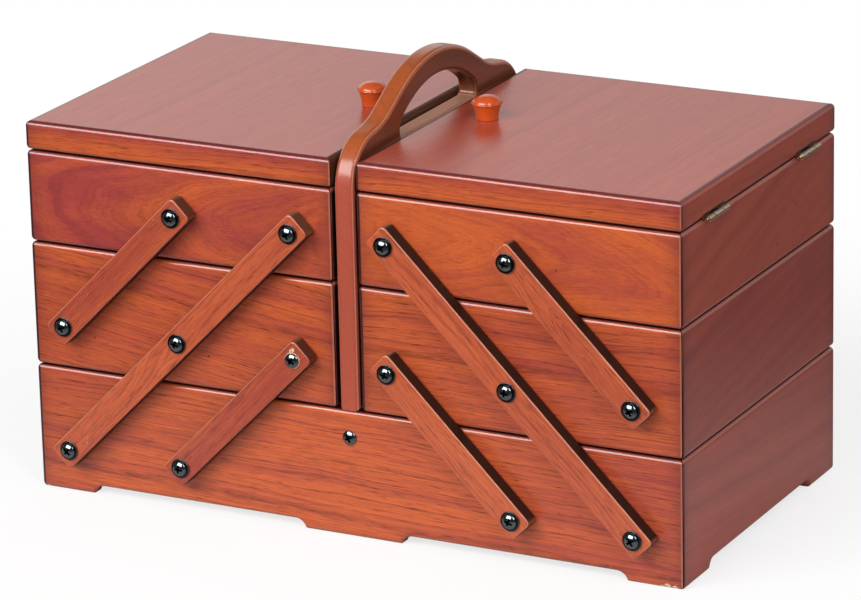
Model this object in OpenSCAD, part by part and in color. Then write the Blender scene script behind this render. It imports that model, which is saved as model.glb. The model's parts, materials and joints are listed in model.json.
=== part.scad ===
// Cantilever sewing box. A footed base carries two stacks of trays that swing out
// to the left and right on wooden links, with a hinged lid on each stack and a
// handle board between them.
// Millimetres. X runs along the box, Y from front to back, Z up.
// The origin is the centre of the closed box on the floor, and the front faces -Y.

/* [Box] */
// Width of the closed box
box_w = 420; // [400:2:480]
// Depth of the box without its links
box_d = 217; // [196:1:260]
// Thickness of the wall boards
wall_t = 9; // [8:0.5:12]
// Rounding along the outer long edges of the boards
edge_r = 3; // [1.5:0.25:3.5]
// Rounding along the inner edges at the openings
inner_r = 1; // [0.5:0.25:1.5]
// Rounding of the upright corners
corner_r = 1.5; // [0.5:0.25:2.5]

/* [Tiers] */
// Height of the base
base_h = 77.4; // [70:0.2:100]
// Height of a middle tray
middle_h = 75.6; // [65:0.2:100]
// Height of a top tray
top_h = 55.6; // [50:0.2:80]
// Height of a lid
lid_h = 17.2; // [14:0.2:24]
// Gap between one tier and the next
tier_gap = 0.4; // [0.2:0.1:0.8]
// Gap between a tray and the handle board
board_gap = 1.75; // [1:0.25:3]

/* [Bottoms and lid panels] */
// Thickness of the plywood bottoms
bottom_t = 4; // [3:0.5:5]
// Height of a tray's bottom above the tray's lower edge
bottom_lift = 4; // [3.5:0.5:8]
// Height of the base's bottom above the floor
base_bottom_lift = 9; // [7:0.5:14]
// Depth of the grooves that hold the bottoms
groove_depth = 4; // [3:0.5:5]
// Play of a bottom in its groove
groove_play = 0.2; // [0.1:0.05:0.4]
// Thickness of the lid panels
panel_t = 4; // [3:0.5:6]
// Width of the lip that a lid's rails leave round its panel
panel_lip = 3.5; // [3.5:0.25:5]

/* [Feet] */
// Height of the arches between the feet
arch_h = 5.2; // [3:0.2:6.5]
// Radius at the ends of the arches
arch_r = 8; // [6.5:0.5:12]
// Length of a corner foot
foot_l = 34.5; // [25:0.5:50]
// Length of the middle feet
middle_foot_l = 61; // [40:1:90]

/* [Handle board] */
// Thickness of the handle board
board_t = 12.5; // [10:0.5:16]
// Rounding of the board's upright edges
board_edge_r = 2; // [1:0.5:4]
// Clearance of the board between the walls of the base
board_play = 0.2; // [0.1:0.05:0.5]
// Height of the grip's crown above the lids
handle_rise = 38.5; // [30:0.5:60]
// Radius of the grip's crown
crown_r = 90; // [80:1:110]
// Slope of the handle beside the crown, in degrees
handle_slope = 30; // [25:1:35]
// Radius of the hollow below the slope
sweep_r = 50; // [30:1:60]
// Slope of the shoulder, in degrees
shoulder_slope = 10; // [5:1:15]
// Length of the shoulder
shoulder_l = 8; // [4:1:12]
// Radius of the nose at each end of the board
nose_r = 29.5; // [20:0.5:36]
// Height of the grip at its crown
grip_h = 15; // [12:0.5:20]
// Length of the hand hole
hand_l = 96; // [84:1:104]
// Depth of the hand hole's floor below the top of the lids
hand_drop = 2; // [0:0.5:8]
// Radius at the hand hole's upper corners
hand_corner_r = 8; // [5:0.5:10]
// Radius at the hand hole's lower corners
hand_floor_r = 3; // [1:0.5:4]

/* [Links] */
// Width of a link
link_w = 17; // [14:0.5:20]
// Thickness of a link
link_t = 10; // [7:0.5:12]
// Length of a link past its end pivots
link_end = 9; // [8:0.5:12]
// Rounding of a link's corners
link_corner_r = 2; // [1:0.5:4]
// Gap between a link and the wall behind it
link_gap = 0.6; // [0.4:0.1:1.5]
// Distance of the outer pivots from the end of the box
pivot_end_x = 26.6; // [22:0.2:40]
// Distance of the inner pivots from the inner end of a tray
pivot_inner_x = 22.5; // [18:0.5:36]
// Height of the pivots in the base
base_pivot_z = 30; // [24:0.5:45]
// Height of the pivots in a tray above its lower edge
tray_pivot_z = 29.2; // [20:0.2:36]

/* [Screws] */
// Diameter of a pivot screw
screw_d = 4; // [3:0.5:5]
// Depth of a pivot screw in its wall
screw_bite = 7; // [5:0.5:7.5]
// Diameter of a screw head
head_d = 8; // [7:0.2:9]
// Height of a screw head
head_h = 2.6; // [2:0.1:3.2]
// Height of the straight rim of a screw head
head_rim = 0.8; // [0.5:0.1:1.2]
// Length of the cross recess in a head
cross_l = 4.4; // [3.6:0.2:5.2]
// Width of the cross recess in a head
cross_w = 1.1; // [0.8:0.1:1.4]
// Depth of the cross recess in a head
cross_depth = 1.5; // [1:0.1:1.8]
// Diameter of a washer
washer_d = 11.8; // [10:0.2:14]
// Thickness of a washer
washer_t = 1; // [0.6:0.1:1.5]
// Gap between a washer and the link that turns under it
washer_gap = 0.2; // [0.1:0.05:0.4]
// Gap between a screw head and its washer
head_gap = 0.05; // [0.02:0.01:0.1]
// Radial clearance of a link on its screw
pivot_play = 0.1; // [0.05:0.01:0.15]
// Radial clearance of a screw in its pilot hole or washer
screw_play = 0.05; // [0.02:0.01:0.1]
// Height of the screws that hold the handle board
handle_screw_z = 61; // [45:0.5:64]
// Depth of those screws in the handle board
handle_screw_bite = 15; // [10:1:20]

/* [Hinges] */
// Length of a hinge
hinge_l = 30; // [24:1:40]
// Distance of a hinge from the middle of the lid
hinge_y = 65; // [50:1:72]
// Length of the middle knuckle
knuckle_l = 12; // [10:1:16]
// Diameter of the knuckles
knuckle_d = 3.6; // [3.2:0.2:4.4]
// Diameter of the hinge pin
pin_d = 1.6; // [1.2:0.1:2]
// Radial clearance of the middle knuckle on the pin
pin_play = 0.05; // [0.03:0.01:0.1]
// Gap between the knuckles
knuckle_gap = 0.3; // [0.2:0.05:0.5]
// Gap between the knuckles and the side of the box
barrel_gap = 0.3; // [0.2:0.05:0.6]
// Thickness of a hinge leaf
leaf_t = 0.9; // [0.7:0.1:1.2]
// Width of a hinge leaf on the wood
leaf_w = 7; // [6:0.5:7.5]
// Distance of the leaf screws from the middle of the hinge
leaf_screw_y = 9; // [7:0.5:11]
// Distance of the leaf screws from the side of the box
leaf_screw_x = 4.4; // [4.2:0.1:4.8]
// Diameter of a leaf screw
leaf_screw_d = 2; // [1.6:0.1:2.2]
// Diameter of a leaf screw's head
leaf_head_d = 3.8; // [3.2:0.1:4.2]
// Length of a leaf screw
leaf_screw_l = 8; // [6:0.5:10]

/* [Knobs] */
// Distance of a knob from the middle of the box
knob_x = 37.5; // [30:0.5:50]
// Height of a knob up to its rim
knob_h = 10.4; // [8:0.2:14]
// Height of the dome on a knob
knob_dome_h = 2.6; // [1.5:0.1:4]
// Diameter of a knob's foot
knob_foot_d = 12.4; // [10:0.2:14]
// Diameter of a knob's rim
knob_rim_d = 17.7; // [16:0.1:20]
// Height of a knob's rim
knob_rim_h = 1.4; // [1:0.1:2]
// Diameter of a knob's screw
knob_screw_d = 3.6; // [3:0.1:4]
// Depth of a knob's screw in the knob
knob_screw_bite = 8; // [6:0.5:9]

/* [Hidden] */
$fn = 64;
left = -1;
right = 1;
front = -1;
back = 1;
// How far a cutting shape runs past the surface that it cuts
over = 1;
lacquered_red = "#A84A2C";
end_red = "#7E3A2A";
link_red = "#B5532F";
handle_brown = "#8A4A28";
plywood = "#C99F6E";
blackened_steel = "#20211F";
old_brass = "#9C8A58";
orange_lacquer = "#E8651C";

half_w = box_w / 2;
half_d = box_d / 2;
tray_x = board_t / 2 + board_gap;
tray_w = half_w - tray_x;
tray_mid_x = (half_w + tray_x) / 2;
middle_z = base_h + tier_gap;
top_z = middle_z + middle_h + tier_gap;
lid_z = top_z + top_h + tier_gap;
lids_top_z = lid_z + lid_h;
base_floor_z = base_bottom_lift + bottom_t;

// Pivots of the right-hand links as [x, z] pairs. The long link is straight, and
// each short link is parallel to it and as long as the stretch beside it.
row_z = [base_pivot_z, middle_z + tray_pivot_z, top_z + tray_pivot_z];
outer_x = half_w - pivot_end_x;
inner_x = tray_x + pivot_inner_x;
lean = (outer_x - inner_x) / (row_z[2] - row_z[0]);
lower_run = lean * (row_z[1] - row_z[0]);
upper_run = lean * (row_z[2] - row_z[1]);
long_pivots = [[outer_x, row_z[0]], [outer_x - lower_run, row_z[1]], [inner_x, row_z[2]]];
lower_pivots = [[inner_x + lower_run, row_z[0]], [inner_x, row_z[1]]];
upper_pivots = [[outer_x, row_z[1]], [outer_x - upper_run, row_z[2]]];
base_pivots = [long_pivots[0], lower_pivots[0]];
middle_pivots = [long_pivots[1], upper_pivots[0], lower_pivots[1]];
top_pivots = [long_pivots[2], upper_pivots[1]];

// Height of a screw head above its wall, past the link and with or without a washer
bare_seat = link_gap + link_t + washer_gap;
washer_seat = bare_seat + washer_t + head_gap;

// Hinge axis: outside the box, level with the middle of the gap under the lid
hinge_x = half_w + barrel_gap + knuckle_d / 2;
hinge_z = lid_z - tier_gap / 2;

// Outline of the handle, front half mirrored to the back, as [y, z] points
crown_z = lids_top_z + handle_rise;
crown_centre = [0, crown_z - crown_r];
nose_y = half_d - nose_r;
shoulder_top_y = nose_y + nose_r * sin(shoulder_slope) - shoulder_l * cos(shoulder_slope);
crown_end = crown_centre + crown_r * [sin(handle_slope), cos(handle_slope)];
slope_end_y = shoulder_top_y - sweep_r * (sin(handle_slope) - sin(shoulder_slope));
slope_end = [slope_end_y, crown_end.y - (slope_end_y - crown_end.x) * tan(handle_slope)];
sweep_centre = slope_end + sweep_r * [sin(handle_slope), cos(handle_slope)];
shoulder_top = sweep_centre - sweep_r * [sin(shoulder_slope), cos(shoulder_slope)];
shoulder_end = shoulder_top + shoulder_l * [cos(shoulder_slope), -sin(shoulder_slope)];
nose_centre = [nose_y, shoulder_end.y - nose_r * cos(shoulder_slope)];
half_outline = concat(
    arc(crown_centre, crown_r, 0, handle_slope, 6),
    arc(sweep_centre, -sweep_r, handle_slope, shoulder_slope, 5),
    arc(nose_centre, nose_r, shoulder_slope, 90, 12)
);
hand_arch_r = crown_r - grip_h;
hand_floor_z = lids_top_z - hand_drop;
hand_corner_y = hand_l / 2 - hand_corner_r;
hand_corner_turn = asin(hand_corner_y / (hand_arch_r - hand_corner_r));
hand_corner = crown_centre + (hand_arch_r - hand_corner_r) * [sin(hand_corner_turn), cos(hand_corner_turn)];
half_hand = concat(
    arc(crown_centre, hand_arch_r, 0, hand_corner_turn, 7),
    arc(hand_corner, hand_corner_r, hand_corner_turn, 90, 5),
    arc([hand_l / 2 - hand_floor_r, hand_floor_z + hand_floor_r], hand_floor_r, 90, 180, 4)
);

// Points of an arc. Angles run from the upward direction towards +x, and a
// negative radius draws the hollow side.
function arc(centre, r, from, to, steps) =
    [for (i = [0:steps]) let (turn = from + (to - from) * i / steps) centre + r * [sin(turn), cos(turn)]];

// A half outline that starts on the centre line, closed by its mirror image
function mirrored(half) =
    concat(half, [for (i = [len(half) - 1:-1:0]) if (half[i].x > 0.001) [-half[i].x, half[i].y]]);

// Shapes drawn for the right side, mirrored for the left
module on_side(side) {
    if (side == left) mirror([1, 0, 0]) children();
    else children();
}

// Shapes drawn at the front, mirrored for the back
module on_face(face) {
    if (face == back) mirror([0, 1, 0]) children();
    else children();
}

// What a rounding takes off a corner at the origin whose sides run along +x and +y
module corner_waste(r) {
    difference() {
        translate([-over, -over]) square(r + over);
        translate([r, r]) circle(r);
    }
}

// A rectangle from the origin with rounded corners
module rounded_rect(size, r) {
    difference() {
        square(size);
        corner_waste(r);
        translate([size.x, 0]) rotate(90) corner_waste(r);
        translate(size) rotate(180) corner_waste(r);
        translate([0, size.y]) rotate(270) corner_waste(r);
    }
}

// Section of a wall board: outer face on x = 0, lower edge on y = 0, with a groove
// for a bottom at groove_z
module wall_section(h, groove_z) {
    difference() {
        square([wall_t, h]);
        corner_waste(edge_r);
        translate([0, h]) rotate(270) corner_waste(edge_r);
        translate([wall_t, h]) rotate(180) corner_waste(inner_r);
        translate([wall_t - groove_depth, groove_z])
            square([groove_depth + over, bottom_t + groove_play]);
    }
}

// Section of a lid rail, with a rebate for the panel along its upper inner edge
module rail_section() {
    difference() {
        square([wall_t, lid_h]);
        corner_waste(edge_r);
        translate([0, lid_h]) rotate(270) corner_waste(edge_r);
        translate([wall_t, 0]) rotate(90) corner_waste(inner_r);
        translate([panel_lip, lid_h - panel_t]) square([wall_t, panel_t + over]);
    }
}

// A board of the given section along X, mitred at both ends, centred on x = 0 with
// its outer face on y = 0 facing -Y
module mitred_board(l, h) {
    inset = wall_t + over;
    intersection() {
        translate([-l / 2, 0, 0]) rotate([90, 0, 90]) linear_extrude(l) children();
        translate([0, 0, -over]) linear_extrude(h + 2 * over) difference() {
            polygon([[-l / 2, 0], [l / 2, 0], [l / 2 - inset, inset], [-l / 2 + inset, inset]]);
            translate([-l / 2, 0]) corner_waste(corner_r);
            translate([l / 2, 0]) rotate(90) corner_waste(corner_r);
        }
    }
}

// Front wall of a tray whose lower edge is at z
module tray_front(z, h, pivots) {
    difference() {
        translate([tray_mid_x, -half_d, z]) mitred_board(tray_w, h) wall_section(h, bottom_lift);
        pilot_holes(pivots);
    }
}

// End walls of a tray
module tray_outer_end(z, h) {
    translate([half_w, 0, z]) rotate([0, 0, 90]) mitred_board(box_d, h) wall_section(h, bottom_lift);
}

module tray_inner_end(z, h) {
    translate([tray_x, 0, z]) rotate([0, 0, -90]) mitred_board(box_d, h) wall_section(h, bottom_lift);
}

// Plywood bottom of a tray, standing in the grooves of its walls
module tray_bottom(z) {
    inset = wall_t - groove_depth + groove_play;
    translate([tray_x + inset, -half_d + inset, z + bottom_lift])
        cube([tray_w - 2 * inset, box_d - 2 * inset, bottom_t]);
}

// Pilot holes in a front wall
module pilot_holes(pivots) {
    for (p = pivots)
        translate([p.x, -half_d - over, p.y]) rotate([-90, 0, 0])
            cylinder(d = screw_d + 2 * screw_play, h = screw_bite + over);
}

// Domed head with a cross recess, seated on z = 0 and rising along +Z
module screw_head() {
    dome = head_h - head_rim;
    dome_r = (head_d * head_d / 4 + dome * dome) / (2 * dome);
    difference() {
        intersection() {
            cylinder(d = head_d, h = head_h);
            translate([0, 0, head_h - dome_r]) sphere(dome_r);
        }
        for (turn = [0, 90])
            rotate(turn) translate([-cross_l / 2, -cross_w / 2, head_h - cross_depth])
                cube([cross_l, cross_w, head_h]);
    }
}

// Pan-head screw along Z with its head above z = 0 and its shank below
module pan_screw(shank) {
    screw_head();
    translate([0, 0, -shank]) cylinder(d = screw_d, h = shank + head_rim / 2);
}

module washer() {
    difference() {
        cylinder(d = washer_d, h = washer_t);
        translate([0, 0, -over]) cylinder(d = screw_d + 2 * screw_play, h = washer_t + 2 * over);
    }
}

// Pivot screw in the front face at p, with or without a washer under its head
module pivot_screw(p, with_washer = true) {
    seat = with_washer ? washer_seat : bare_seat;
    translate([p.x, -half_d, p.y]) rotate([90, 0, 0]) {
        translate([0, 0, seat]) pan_screw(seat + screw_bite);
        if (with_washer) translate([0, 0, bare_seat]) washer();
    }
}

// Arch between two feet of a front panel, from x = from to x = to
module arch(from, to) {
    depth = wall_t + 2 * over;
    translate([from, -half_d + wall_t + over, -arch_r - over]) rotate([90, 0, 0])
        linear_extrude(depth) rounded_rect([to - from, arch_r + over + arch_h], arch_r);
}

// Front panel of the base, drilled for the pivot screws of both sides and for the
// handle board's screw
module base_front() {
    difference() {
        translate([0, -half_d, 0]) mitred_board(box_w, base_h) wall_section(base_h, base_bottom_lift);
        arch(-half_w + foot_l, -middle_foot_l / 2);
        arch(middle_foot_l / 2, half_w - foot_l);
        pilot_holes(base_pivots);
        mirror([1, 0, 0]) pilot_holes(base_pivots);
        translate([0, -half_d - over, handle_screw_z]) rotate([-90, 0, 0])
            cylinder(d = screw_d + 2 * screw_play, h = wall_t + 2 * over);
    }
}

// End panel of the base
module base_end() {
    span = box_d - 2 * foot_l;
    difference() {
        translate([half_w, 0, 0]) rotate([0, 0, 90])
            mitred_board(box_d, base_h) wall_section(base_h, base_bottom_lift);
        translate([half_w - wall_t - over, -span / 2, -arch_r - over]) rotate([90, 0, 90])
            linear_extrude(wall_t + 2 * over) rounded_rect([span, arch_r + over + arch_h], arch_r);
    }
}

module base_front_panel() {
    color(lacquered_red) base_front();
}

module base_back_panel() {
    color(lacquered_red) on_face(back) base_front();
}

module base_side_end(side) {
    color(end_red) on_side(side) base_end();
}

// Plywood bottom of the base, which also carries the handle board
module base_bottom() {
    inset = wall_t - groove_depth + groove_play;
    color(plywood) translate([-half_w + inset, -half_d + inset, base_bottom_lift])
        cube([box_w - 2 * inset, box_d - 2 * inset, bottom_t]);
}

module base_pivot_screws() {
    color(blackened_steel)
        for (side = [left, right], face = [front, back], p = base_pivots)
            on_side(side) on_face(face) pivot_screw(p);
}

// Handle board: it stands on the base's bottom as a divider, rests its shoulders on
// the front and back panels, and rises between the trays to the grip
module handle_board() {
    tenon_y = half_d - wall_t - board_play;
    outline = concat(half_outline, [[half_d, base_h], [tenon_y, base_h], [tenon_y, base_floor_z]]);
    color(handle_brown) difference() {
        intersection() {
            translate([-board_t / 2, 0, 0]) rotate([90, 0, 90]) linear_extrude(board_t) difference() {
                polygon(mirrored(outline));
                polygon(mirrored(half_hand));
            }
            translate([-board_t / 2, -half_d, 0])
                linear_extrude(crown_z + over) rounded_rect([board_t, box_d], board_edge_r);
        }
        for (face = [front, back])
            on_face(face) translate([0, -tenon_y - over, handle_screw_z]) rotate([-90, 0, 0])
                cylinder(d = screw_d + 2 * screw_play, h = handle_screw_bite + over);
    }
}

module handle_screws() {
    color(blackened_steel)
        for (face = [front, back])
            on_face(face) translate([0, -half_d, handle_screw_z]) rotate([90, 0, 0])
                pan_screw(wall_t + handle_screw_bite);
}

// The middle trays
module middle_tray_face(side, face) {
    color(lacquered_red) on_side(side) on_face(face) tray_front(middle_z, middle_h, middle_pivots);
}

module middle_tray_outer_end(side) {
    color(end_red) on_side(side) tray_outer_end(middle_z, middle_h);
}

module middle_tray_inner_end(side) {
    color(end_red) on_side(side) tray_inner_end(middle_z, middle_h);
}

module middle_tray_bottom(side) {
    color(plywood) on_side(side) tray_bottom(middle_z);
}

// The lower link's screw at the left front has no washer
module middle_tray_screws(side) {
    color(blackened_steel)
        for (face = [front, back], p = middle_pivots)
            on_side(side) on_face(face)
                pivot_screw(p, !(side == left && face == front && p == lower_pivots[1]));
}

// The top trays
module top_tray_face(side, face) {
    color(lacquered_red) on_side(side) on_face(face) tray_front(top_z, top_h, top_pivots);
}

module top_tray_outer_end(side) {
    color(end_red) on_side(side) difference() {
        tray_outer_end(top_z, top_h);
        for (face = [front, back])
            on_face(face) leaf_place() mirror([0, 0, 1]) leaf_housing();
    }
}

module top_tray_inner_end(side) {
    color(end_red) on_side(side) tray_inner_end(top_z, top_h);
}

module top_tray_bottom(side) {
    color(plywood) on_side(side) tray_bottom(top_z);
}

module top_tray_screws(side) {
    color(blackened_steel)
        for (face = [front, back], p = top_pivots) on_side(side) on_face(face) pivot_screw(p);
    color(old_brass)
        for (face = [front, back])
            on_side(side) on_face(face) leaf_place() mirror([0, 0, 1]) leaf_screws();
}

// The origin of a front hinge: on its axis, halfway along it
module leaf_place() {
    translate([hinge_x, -hinge_y, hinge_z]) children();
}

// A hinge leaf above its axis: a flat plate let into the wood, and knuckles on the
// stretches of Y that the list gives. The tray's leaf is this shape turned over.
module hinge_leaf(stretches, bore_play) {
    plate_z = tier_gap / 2;
    wood_x = hinge_x - half_w;
    difference() {
        union() {
            translate([-wood_x - leaf_w, -hinge_l / 2, plate_z]) cube([leaf_w, hinge_l, leaf_t]);
            for (s = stretches) {
                translate([-wood_x - over, s[0], plate_z]) cube([wood_x + over, s[1] - s[0], leaf_t]);
                translate([0, s[0], 0]) rotate([-90, 0, 0]) cylinder(d = knuckle_d, h = s[1] - s[0]);
            }
        }
        translate([0, -hinge_l, 0]) rotate([-90, 0, 0]) cylinder(d = pin_d + 2 * bore_play, h = 2 * hinge_l);
        leaf_screw_places() translate([0, 0, -over])
            cylinder(d = leaf_screw_d + 2 * screw_play, h = leaf_t + 2 * over);
        leaf_screw_places() leaf_screw_cone(screw_play);
    }
}

// What a hinge leaf and its screws take out of the wood
module leaf_housing() {
    wood_x = hinge_x - half_w;
    plate_z = tier_gap / 2;
    side_play = groove_play / 2;
    translate([-wood_x - leaf_w - side_play, -hinge_l / 2 - side_play, plate_z - over])
        cube([leaf_w + side_play + over, hinge_l + 2 * side_play, leaf_t + over]);
    leaf_screw_places() cylinder(d = leaf_screw_d + 2 * screw_play, h = leaf_screw_l + screw_play);
}

// The places of a leaf's screws, at the leaf's face in the gap
module leaf_screw_places() {
    for (y = [-leaf_screw_y, leaf_screw_y])
        translate([half_w - hinge_x - leaf_screw_x, y, tier_gap / 2]) children();
}

// Countersunk head of a leaf screw, wide at z = 0, grown by play
module leaf_screw_cone(play) {
    cylinder(d1 = leaf_head_d + 2 * play, d2 = leaf_screw_d + 2 * play, h = leaf_t);
}

module leaf_screws() {
    leaf_screw_places() {
        leaf_screw_cone(0);
        cylinder(d = leaf_screw_d, h = leaf_screw_l);
    }
}

inner_knuckle = [[-knuckle_l / 2, knuckle_l / 2]];
outer_knuckles = [
    [-hinge_l / 2, -knuckle_l / 2 - knuckle_gap],
    [knuckle_l / 2 + knuckle_gap, hinge_l / 2]
];

module top_tray_hinge_leaves(side) {
    color(old_brass)
        for (face = [front, back])
            on_side(side) on_face(face) leaf_place() mirror([0, 0, 1]) hinge_leaf(outer_knuckles, 0);
}

module lid_hinge_leaves(side) {
    color(old_brass)
        for (face = [front, back])
            on_side(side) on_face(face) leaf_place() hinge_leaf(inner_knuckle, pin_play);
}

// The pins are fixed in the trays' knuckles, and the lids' knuckles turn on them
module hinge_pins(side) {
    color(old_brass)
        for (face = [front, back])
            on_side(side) on_face(face) leaf_place() translate([0, -hinge_l / 2, 0])
                rotate([-90, 0, 0]) cylinder(d = pin_d, h = hinge_l);
}

// The four mitred rails of a lid
module lid_frame(side) {
    color(lacquered_red) on_side(side) {
        for (face = [front, back])
            on_face(face) translate([tray_mid_x, -half_d, lid_z]) mitred_board(tray_w, lid_h) rail_section();
        translate([tray_x, 0, lid_z]) rotate([0, 0, -90]) mitred_board(box_d, lid_h) rail_section();
        difference() {
            translate([half_w, 0, lid_z]) rotate([0, 0, 90]) mitred_board(box_d, lid_h) rail_section();
            for (face = [front, back]) on_face(face) leaf_place() leaf_housing();
        }
    }
}

// Plywood panel let into the top of a lid's rails
module lid_panel(side) {
    inset = panel_lip + groove_play / 2;
    panel_z = lids_top_z - panel_t;
    color(end_red) on_side(side) difference() {
        translate([tray_x + inset, -half_d + inset, panel_z])
            cube([tray_w - 2 * inset, box_d - 2 * inset, panel_t]);
        translate([knob_x, 0, panel_z - over])
            cylinder(d = knob_screw_d + 2 * screw_play, h = panel_t + 2 * over);
    }
}

// Each knob's screw comes up from inside the lid, and the leaf screws hold the hinges
module lid_screws(side) {
    color(blackened_steel) on_side(side) translate([knob_x, 0, lids_top_z - panel_t]) {
        mirror([0, 0, 1]) screw_head();
        translate([0, 0, -head_rim / 2])
            cylinder(d = knob_screw_d, h = head_rim / 2 + panel_t + knob_screw_bite);
    }
    color(old_brass)
        for (face = [front, back]) on_side(side) on_face(face) leaf_place() leaf_screws();
}

// Turned knob: a foot that flares to a narrow rim under a low dome
module knob(side) {
    foot_r = knob_foot_d / 2;
    rim_r = knob_rim_d / 2;
    flare_h = knob_h - knob_rim_h;
    flare_steps = 8;
    dome_r = (rim_r * rim_r + knob_dome_h * knob_dome_h) / (2 * knob_dome_h);
    flare = [for (i = [0:flare_steps]) let (u = i / flare_steps)
        [foot_r + (rim_r - foot_r) * pow(u, 2.4), flare_h * u]];
    color(orange_lacquer) on_side(side) translate([knob_x, 0, lids_top_z]) difference() {
        union() {
            rotate_extrude() polygon(concat([[0, 0]], flare, [[rim_r, knob_h], [0, knob_h]]));
            translate([0, 0, knob_h - over]) intersection() {
                cylinder(r = rim_r, h = knob_dome_h + over);
                translate([0, 0, over + knob_dome_h - dome_r]) sphere(dome_r);
            }
        }
        translate([0, 0, -over])
            cylinder(d = knob_screw_d + 2 * screw_play, h = knob_screw_bite + screw_play + over);
    }
}

// A link through the given pivots, in front of the front wall
module link(side, face, pivots) {
    foot = pivots[0];
    tip = pivots[len(pivots) - 1];
    reach = norm(tip - foot);
    turn = atan2(tip.y - foot.y, tip.x - foot.x);
    color(link_red) on_side(side) on_face(face)
        translate([0, -half_d - link_gap, 0]) rotate([90, 0, 0]) linear_extrude(link_t) difference() {
            translate(foot) rotate(turn) translate([-link_end, -link_w / 2])
                rounded_rect([reach + 2 * link_end, link_w], link_corner_r);
            for (p = pivots) translate(p) circle(d = screw_d + 2 * pivot_play);
        }
}

module long_link(side, face) {
    link(side, face, long_pivots);
}

module lower_link(side, face) {
    link(side, face, lower_pivots);
}

module upper_link(side, face) {
    link(side, face, upper_pivots);
}

base_front_panel();
base_back_panel();
base_side_end(left);  // base_left_end
base_side_end(right);  // base_right_end
base_bottom();
base_pivot_screws();
handle_board();
handle_screws();
middle_tray_face(left, front);  // left_middle_tray_front
middle_tray_face(left, back);  // left_middle_tray_back
middle_tray_outer_end(left);  // left_middle_tray_outer_end
middle_tray_inner_end(left);  // left_middle_tray_inner_end
middle_tray_bottom(left);  // left_middle_tray_bottom
middle_tray_screws(left);  // left_middle_tray_screws
top_tray_face(left, front);  // left_top_tray_front
top_tray_face(left, back);  // left_top_tray_back
top_tray_outer_end(left);  // left_top_tray_outer_end
top_tray_inner_end(left);  // left_top_tray_inner_end
top_tray_bottom(left);  // left_top_tray_bottom
top_tray_screws(left);  // left_top_tray_screws
top_tray_hinge_leaves(left);  // left_top_tray_hinge_leaves
hinge_pins(left);  // left_hinge_pins
lid_frame(left);  // left_lid_frame
lid_panel(left);  // left_lid_panel
lid_hinge_leaves(left);  // left_lid_hinge_leaves
lid_screws(left);  // left_lid_screws
knob(left);  // left_knob
long_link(left, front);  // left_long_link_front
long_link(left, back);  // left_long_link_back
lower_link(left, front);  // left_lower_link_front
lower_link(left, back);  // left_lower_link_back
upper_link(left, front);  // left_upper_link_front
upper_link(left, back);  // left_upper_link_back
middle_tray_face(right, front);  // right_middle_tray_front
middle_tray_face(right, back);  // right_middle_tray_back
middle_tray_outer_end(right);  // right_middle_tray_outer_end
middle_tray_inner_end(right);  // right_middle_tray_inner_end
middle_tray_bottom(right);  // right_middle_tray_bottom
middle_tray_screws(right);  // right_middle_tray_screws
top_tray_face(right, front);  // right_top_tray_front
top_tray_face(right, back);  // right_top_tray_back
top_tray_outer_end(right);  // right_top_tray_outer_end
top_tray_inner_end(right);  // right_top_tray_inner_end
top_tray_bottom(right);  // right_top_tray_bottom
top_tray_screws(right);  // right_top_tray_screws
top_tray_hinge_leaves(right);  // right_top_tray_hinge_leaves
hinge_pins(right);  // right_hinge_pins
lid_frame(right);  // right_lid_frame
lid_panel(right);  // right_lid_panel
lid_hinge_leaves(right);  // right_lid_hinge_leaves
lid_screws(right);  // right_lid_screws
knob(right);  // right_knob
long_link(right, front);  // right_long_link_front
long_link(right, back);  // right_long_link_back
lower_link(right, front);  // right_lower_link_front
lower_link(right, back);  // right_lower_link_back
upper_link(right, front);  // right_upper_link_front
upper_link(right, back);  // right_upper_link_back
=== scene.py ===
import json
import math
from functools import partial, wraps

import bpy
import numpy as np
from bpy.props import FloatProperty, FloatVectorProperty, PointerProperty
from mathutils import Matrix, Vector
from mathutils.geometry import tessellate_polygon

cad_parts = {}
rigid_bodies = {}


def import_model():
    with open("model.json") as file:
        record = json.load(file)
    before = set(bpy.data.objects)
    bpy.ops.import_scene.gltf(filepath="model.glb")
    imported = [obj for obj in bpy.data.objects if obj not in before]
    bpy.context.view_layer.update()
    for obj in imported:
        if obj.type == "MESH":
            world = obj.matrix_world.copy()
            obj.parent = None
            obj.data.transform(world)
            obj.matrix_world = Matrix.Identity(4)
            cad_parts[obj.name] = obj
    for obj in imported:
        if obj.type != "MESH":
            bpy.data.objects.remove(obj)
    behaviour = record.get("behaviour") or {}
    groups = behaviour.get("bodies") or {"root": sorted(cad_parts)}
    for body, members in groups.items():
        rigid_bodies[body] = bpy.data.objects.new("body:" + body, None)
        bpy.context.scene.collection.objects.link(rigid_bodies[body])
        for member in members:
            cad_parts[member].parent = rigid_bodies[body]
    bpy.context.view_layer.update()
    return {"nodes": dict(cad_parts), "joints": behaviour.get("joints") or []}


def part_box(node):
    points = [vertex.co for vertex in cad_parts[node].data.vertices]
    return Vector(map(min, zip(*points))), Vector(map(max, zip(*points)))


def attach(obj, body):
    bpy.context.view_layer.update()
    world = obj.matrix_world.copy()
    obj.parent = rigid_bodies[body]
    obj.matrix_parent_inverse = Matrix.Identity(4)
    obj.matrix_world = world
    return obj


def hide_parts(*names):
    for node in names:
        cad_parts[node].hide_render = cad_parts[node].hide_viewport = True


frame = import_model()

bl_info = {
    "name": "Sewing box with trays",
    "version": (1, 0, 0),
    "blender": (4, 5, 0),
    "location": "3D View > Sidebar > Sewing box",
    "description": "Dresses the solids of a cantilever sewing box with boards, links, hinges and screws",
    "category": "Object",
}

# Metres throughout. X runs along the box, Y from front to back, Z up.
MM = 0.001
SIDES = ("left", "right")
OTHER_SIDE = {"left": "right", "right": "left"}
FACES = ("front", "back")
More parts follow.
